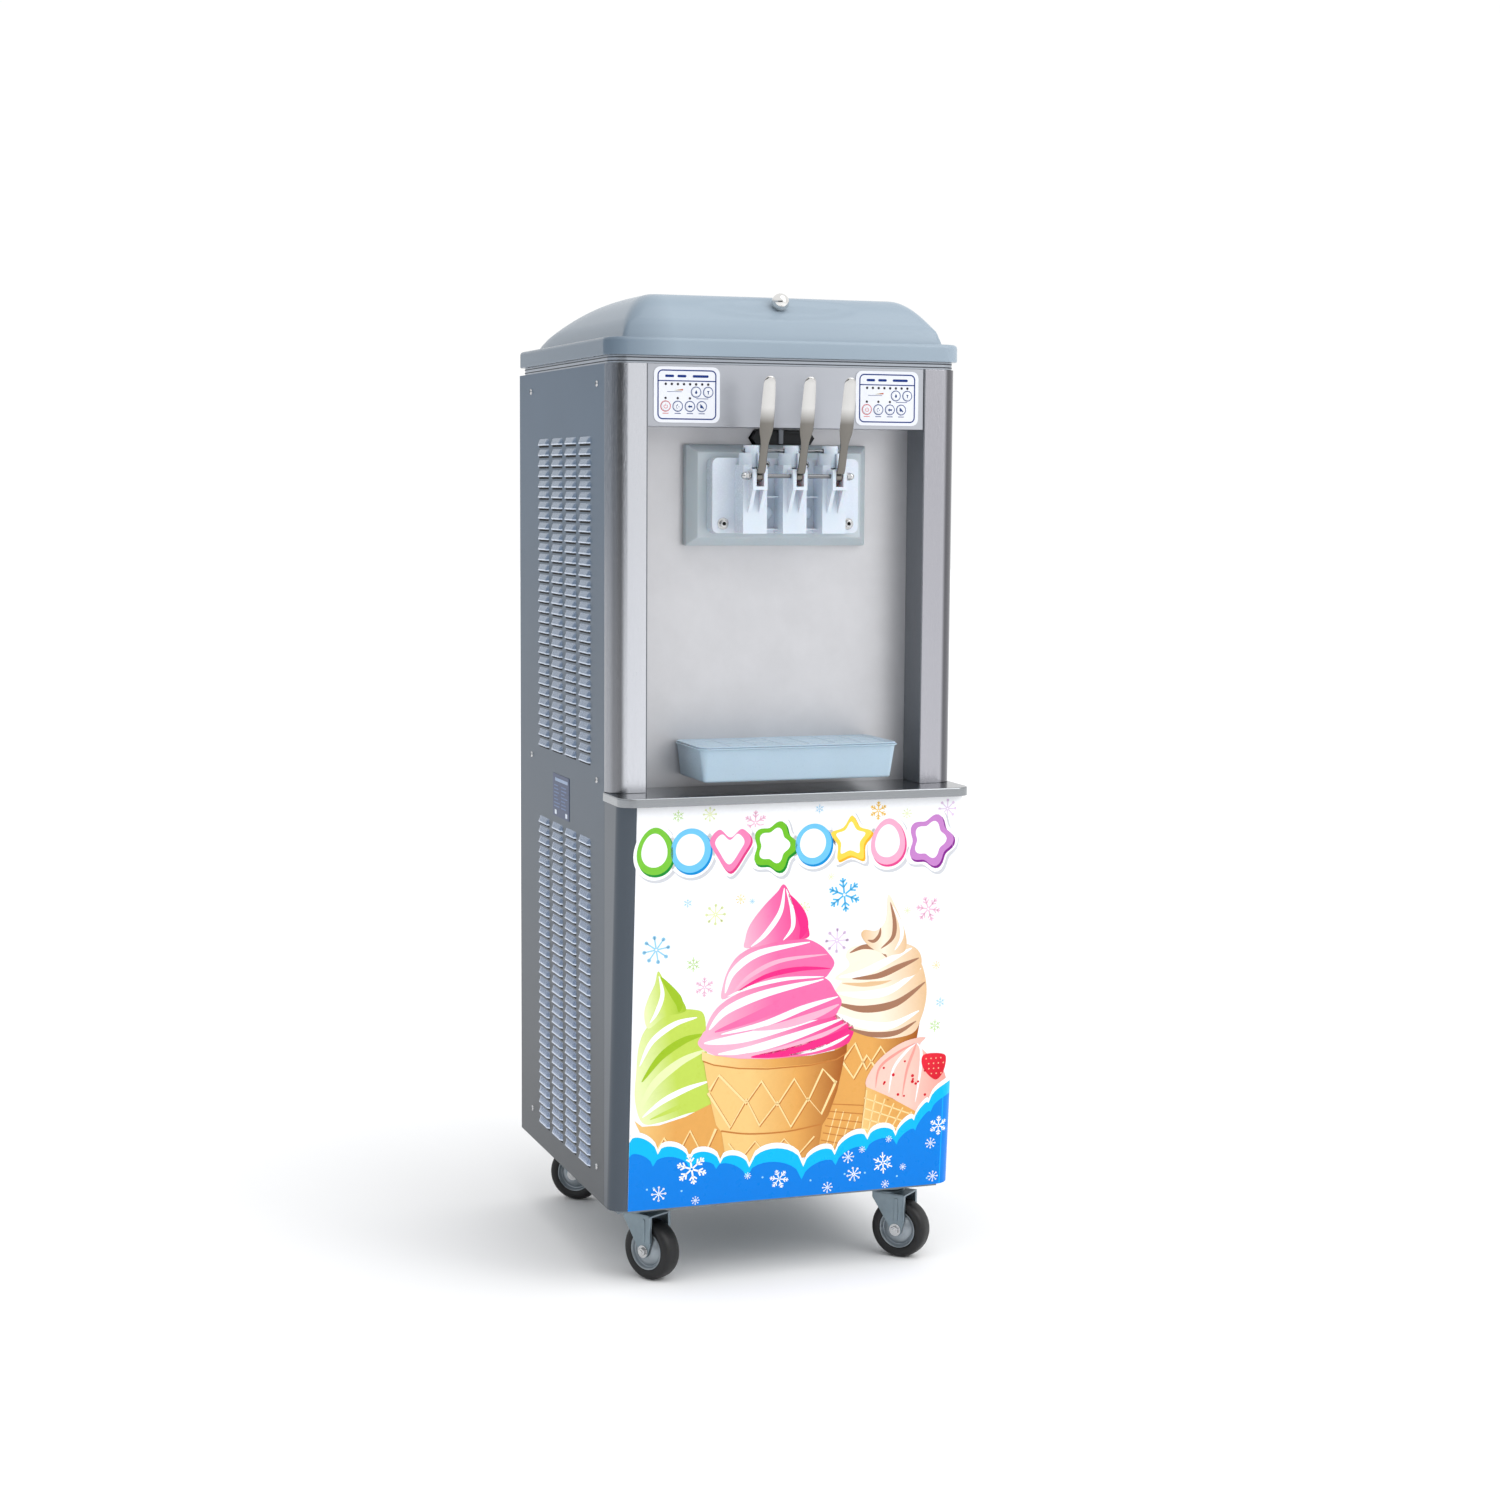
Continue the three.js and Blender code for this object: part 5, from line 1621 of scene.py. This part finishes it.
def info_plate():
    """Dark plate on the left side with plain ruled lines and two light squares."""
    middle_y, middle_z, half_y, half_z = 266, 703, 47, 33
    body = plate(
        round_rect(middle_y - half_y, middle_y + half_y, middle_z - half_z, middle_z + half_z, 2, 4),
        -HALF_WIDTH - 0.7, -HALF_WIDTH + 0.2, axis="X", round_over=0.2
    )
    piece(
        "info_plate", body,
        surface("info_plate", srgb(38, 58, 96), 0.3, 0.4, 0.05, 30, 800, (1, 1, 1), 0.00002), "cabinet",
    )
    sheet = Drawing(lambda u, w, height: (-HALF_WIDTH - 0.7 - height, middle_y - u, middle_z + w))
    pale, ruled = srgb(150, 168, 196), srgb(98, 120, 160)
    sheet.fill(round_rect(-34, 40, 22, 27, 1, 3), pale, 0)
    chance = random.Random(3)
    for row in range(7):
        w = 15 - row * 5.4
        sheet.stroke([(-40, w), (-40 + chance.uniform(20, 34), w)], 1.8, ruled, 0)
        sheet.stroke([(2, w), (2 + chance.uniform(18, 38), w)], 1.8, ruled, 0)
    for start in (-36, 26):
        sheet.fill(round_rect(start, start + 11, -30, -23, 0.6, 2), srgb(220, 228, 240), 0)
    sheet.make("info_plate_print", KEY_FILM, "cabinet")


# ---------- castors ----------


AXLE_Z = JOINTS["front_left_wheel_roll"]["pos_m"][2] / MM


def castor_trail():
    """How far the axle stands off the swivel."""
    pin, axle = (Vector(JOINTS[f"front_left_{name}"]["pos_m"]) for name in ("swivel_turn", "wheel_roll"))
    return (pin - axle).xy.length / MM


def castor_wheel_parts():
    """Tyre and hub about Z, before they are turned onto the axle."""
    r = AXLE_Z
    tyre = lathe([
        (29.6, -13.6), (31, -15.0), (33, -15.4), (36, -15.9), (40, -15.2), (43, -12.6), (44.5, -8.6),
        (r, -4), (r, 4),
        (44.5, 8.6), (43, 12.6), (40, 15.2), (36, 15.9), (33, 15.4), (31, 15.0), (29.6, 13.6), (29.2, 6),
        (29.2, -6),
    ], 88)
    half = [
        (5.3, 16.0), (9, 16.4), (13, 16.0), (17, 14.8), (20.5, 12.8), (22.8, 10.6), (24, 9.9), (25.2, 10.4),
        (26.2, 12.2), (27.2, 14.2), (28.4, 14.9), (29.4, 14.4), (29.7, 12),
    ]
    hub = lathe(half + [(radius, -height) for radius, height in reversed(half)], 80)
    return tyre, hub


def castor_fork_parts():
    """Fork about its swivel axis Z, the axle along X behind it at the trail."""
    trail = castor_trail()
    sheets, bolts = Shape(), Shape()
    leg = [(22, 101), (-34, 101), (-34, 62)] + arc(-trail, AXLE_Z, 10, 200, 374, 20) + [(22, 92)]
    flange = [(-31.4, 100.6), (-34, 100.6), (-34, 60), (-31.4, 57.4)]
    for side in (-1, 1):
        near, far = sorted((side * 18, side * 20.4))
        sheets.join(plate(leg, near, far, axis="X", round_over=0.7))
        near, far = sorted((side * 19, side * 23.6))
        sheets.join(plate(flange, near, far, axis="X", round_over=0.6))
        bead = round_rect(-22, -15.5, 58, 95, 3.2, 6)
        near, far = sorted((side * 20, side * 21.4))
        sheets.join(plate(bead, near, far, axis="X", round_over=0.6))
        bolts.join(
            lathe([(0, 0), (9.4, 0), (9.4, 1.2), (0, 1.2)], 32),
            placed(side * 20.4, -trail, AXLE_Z, (side, 0, 0))
        )
        bolts.join(
            plate(ring(6.6, 6), 1.0, 5.0, round_over=0.9), placed(side * 20.4, -trail, AXLE_Z, (side, 0, 0))
        )
        bolts.join(
            lathe([(0, 4.6), (3, 4.6), (3, 5.8), (2.5, 6.3), (0, 6.4)], 24),
            placed(side * 20.4, -trail, AXLE_Z, (side, 0, 0))
        )
    sheets.join(plate(round_rect(-20.4, 20.4, -34, 22, 4, 6), 98.2, 101.4, round_over=0.8))
    race = [
        (0, 100.8), (20.4, 100.8), (21.4, 101.6), (21.6, 102.6), (20.6, 104), (18, 105), (12, 105.6),
        (0, 105.6)
    ]
    sheets.join(lathe(race, 56))
    bolts.join(
        lathe([(0, -18.4), (4.8, -18.4), (4.8, 18.4), (0, 18.4)], 24), placed(0, -trail, AXLE_Z, (1, 0, 0))
    )
    bolts.join(lathe([(0, 105), (6, 105), (6, 118.6), (0, 118.6)], 24))
    return sheets, bolts


def castors():
    tyre, hub = castor_wheel_parts()
    sheets, bolts = castor_fork_parts()
    trail = castor_trail()
    for name in CASTORS:
        swivel = JOINTS[f"{name}_swivel_turn"]["pos_m"]
        roll = JOINTS[f"{name}_wheel_roll"]
        axle = Vector(roll["axis"])
        turn = Matrix.Rotation(math.atan2(axle.y, axle.x), 4, "Z")
        spot = Matrix.Translation((swivel[0] / MM, (swivel[1] - FRONT) / MM, 0)) @ turn
        onto_axle = spot @ Matrix.Translation((0, -trail, AXLE_Z)) @ turned_to((1, 0, 0))
        piece(
            f"{name}_fork_sheet", sheets.moved(spot), CASTOR_ZINC, f"{name}_swivel",
            [f"{name}_fork"]
        )
        piece(f"{name}_axle_bolt", bolts.moved(spot), BRIGHT_STEEL, f"{name}_swivel")
        piece(
            f"{name}_tyre", tyre.moved(onto_axle), BLACK_RUBBER, f"{name}_roller",
            [f"{name}_wheel"]
        )
        piece(f"{name}_hub", hub.moved(onto_axle), HUB_ZINC, f"{name}_roller")


# ---------- stage ----------


def camera():
    yaw, pitch, roll = (math.radians(angle) for angle in (19.37, 5.91, 0.38))
    forward = Vector((math.sin(yaw) * math.cos(pitch), math.cos(yaw) * math.cos(pitch), -math.sin(pitch)))
    right = Vector((math.cos(yaw), -math.sin(yaw), 0))
    up = right.cross(forward)
    rolled_right = right * math.cos(roll) + up * math.sin(roll)
    rolled_up = up * math.cos(roll) - right * math.sin(roll)
    lens = bpy.data.cameras.new("camera")
    lens.sensor_width = 36
    lens.lens = 61.5
    lens.clip_end = 200
    obj = bpy.data.objects.new("camera", lens)
    turn = Matrix((rolled_right, rolled_up, -forward)).transposed()
    obj.matrix_world = Matrix.Translation(at((-1296.3, -3528.2, 1183.3))) @ turn.to_4x4()
    bpy.context.scene.collection.objects.link(obj)
    bpy.context.scene.camera = obj


def area_light(name, spot, target, size, power, colour=(1, 1, 1)):
    light = bpy.data.lights.new(name, "AREA")
    light.shape = "RECTANGLE"
    light.size, light.size_y = size
    light.energy = power
    light.color = colour
    obj = bpy.data.objects.new(name, light)
    obj.location = spot
    obj.rotation_euler = (Vector(target) - Vector(spot)).to_track_quat("-Z", "Y").to_euler()
    bpy.context.scene.collection.objects.link(obj)


def studio():
    floor = bpy.data.meshes.new("floor")
    floor.from_pydata([(-30, -30, 0), (30, -30, 0), (30, 30, 0), (-30, 30, 0)], [], [(0, 1, 2, 3)])
    floor.materials.append(
        surface("floor_paper", (0.95, 0.953, 0.96), 0.0, 0.9, 0.004, 2, 400, (1, 1, 1), 0.00001)
    )
    obj = bpy.data.objects.new("floor", floor)
    bpy.context.scene.collection.objects.link(obj)
    world = bpy.data.worlds.new("studio")
    bpy.context.scene.world = world
    world.use_nodes = True
    tree = world.node_tree
    background = tree.nodes["Background"]
    background.inputs["Strength"].default_value = 1.02
    split = tree.nodes.new("ShaderNodeSeparateXYZ")
    tree.links.new(tree.nodes.new("ShaderNodeTexCoord").outputs["Generated"], split.inputs[0])
    turn = tree.nodes.new("ShaderNodeMath")
    turn.operation = "ARCTAN2"
    tree.links.new(split.outputs["X"], turn.inputs[0])
    tree.links.new(split.outputs["Y"], turn.inputs[1])
    share = tree.nodes.new("ShaderNodeMapRange")
    share.inputs["From Min"].default_value = -math.pi
    share.inputs["From Max"].default_value = math.pi
    tree.links.new(turn.outputs[0], share.inputs[0])
    sides = tree.nodes.new("ShaderNodeValToRGB")
    sides.color_ramp.interpolation = "EASE"
    stops = (
        (0.0, (0.14, 0.15, 0.16)), (0.12, (0.14, 0.15, 0.16)), (0.17, (0.45, 0.50, 0.56)),
        (0.42, (0.45, 0.50, 0.56)), (0.47, (1, 1, 1)), (0.965, (1, 1, 1)), (0.985, (0.14, 0.15, 0.16)),
    )
    fill_ramp(sides, stops)
    tree.links.new(share.outputs[0], sides.inputs["Fac"])
    height = tree.nodes.new("ShaderNodeMapRange")
    height.interpolation_type = "SMOOTHSTEP"
    height.inputs["From Min"].default_value = 0.12
    height.inputs["From Max"].default_value = 0.5
    tree.links.new(split.outputs["Z"], height.inputs[0])
    sky = tree.nodes.new("ShaderNodeMix")
    sky.data_type = "RGBA"
    sky.inputs[7].default_value = (1, 1, 1, 1)
    tree.links.new(height.outputs[0], sky.inputs[0])
    tree.links.new(sides.outputs["Color"], sky.inputs[6])
    tree.links.new(sky.outputs[2], background.inputs["Color"])
    sun = bpy.data.lights.new("overhead", "SUN")
    sun.energy = 0.9
    sun.angle = math.radians(55)
    lamp = bpy.data.objects.new("overhead", sun)
    lamp.rotation_euler = Vector((-0.35, 0.5, -1)).to_track_quat("-Z", "Y").to_euler()
    bpy.context.scene.collection.objects.link(lamp)
    area_light("key", (2.6, -3.4, 3.2), (0, 0, 0.8), (1.6, 2.2), 34)
    bpy.context.scene.view_settings.view_transform = "Standard"


camera()
finish_cad_nodes()
columns_and_cheeks()
shelf_skin()
lid()
knob()
tray()
tray_cover()
for tap in TAPS:
    handle(tap)
tap_hardware()
switch_box()
side_louvres()
cabinet_screws()
seals()
front_print()
keypad_prints()
info_plate()
castors()
studio()
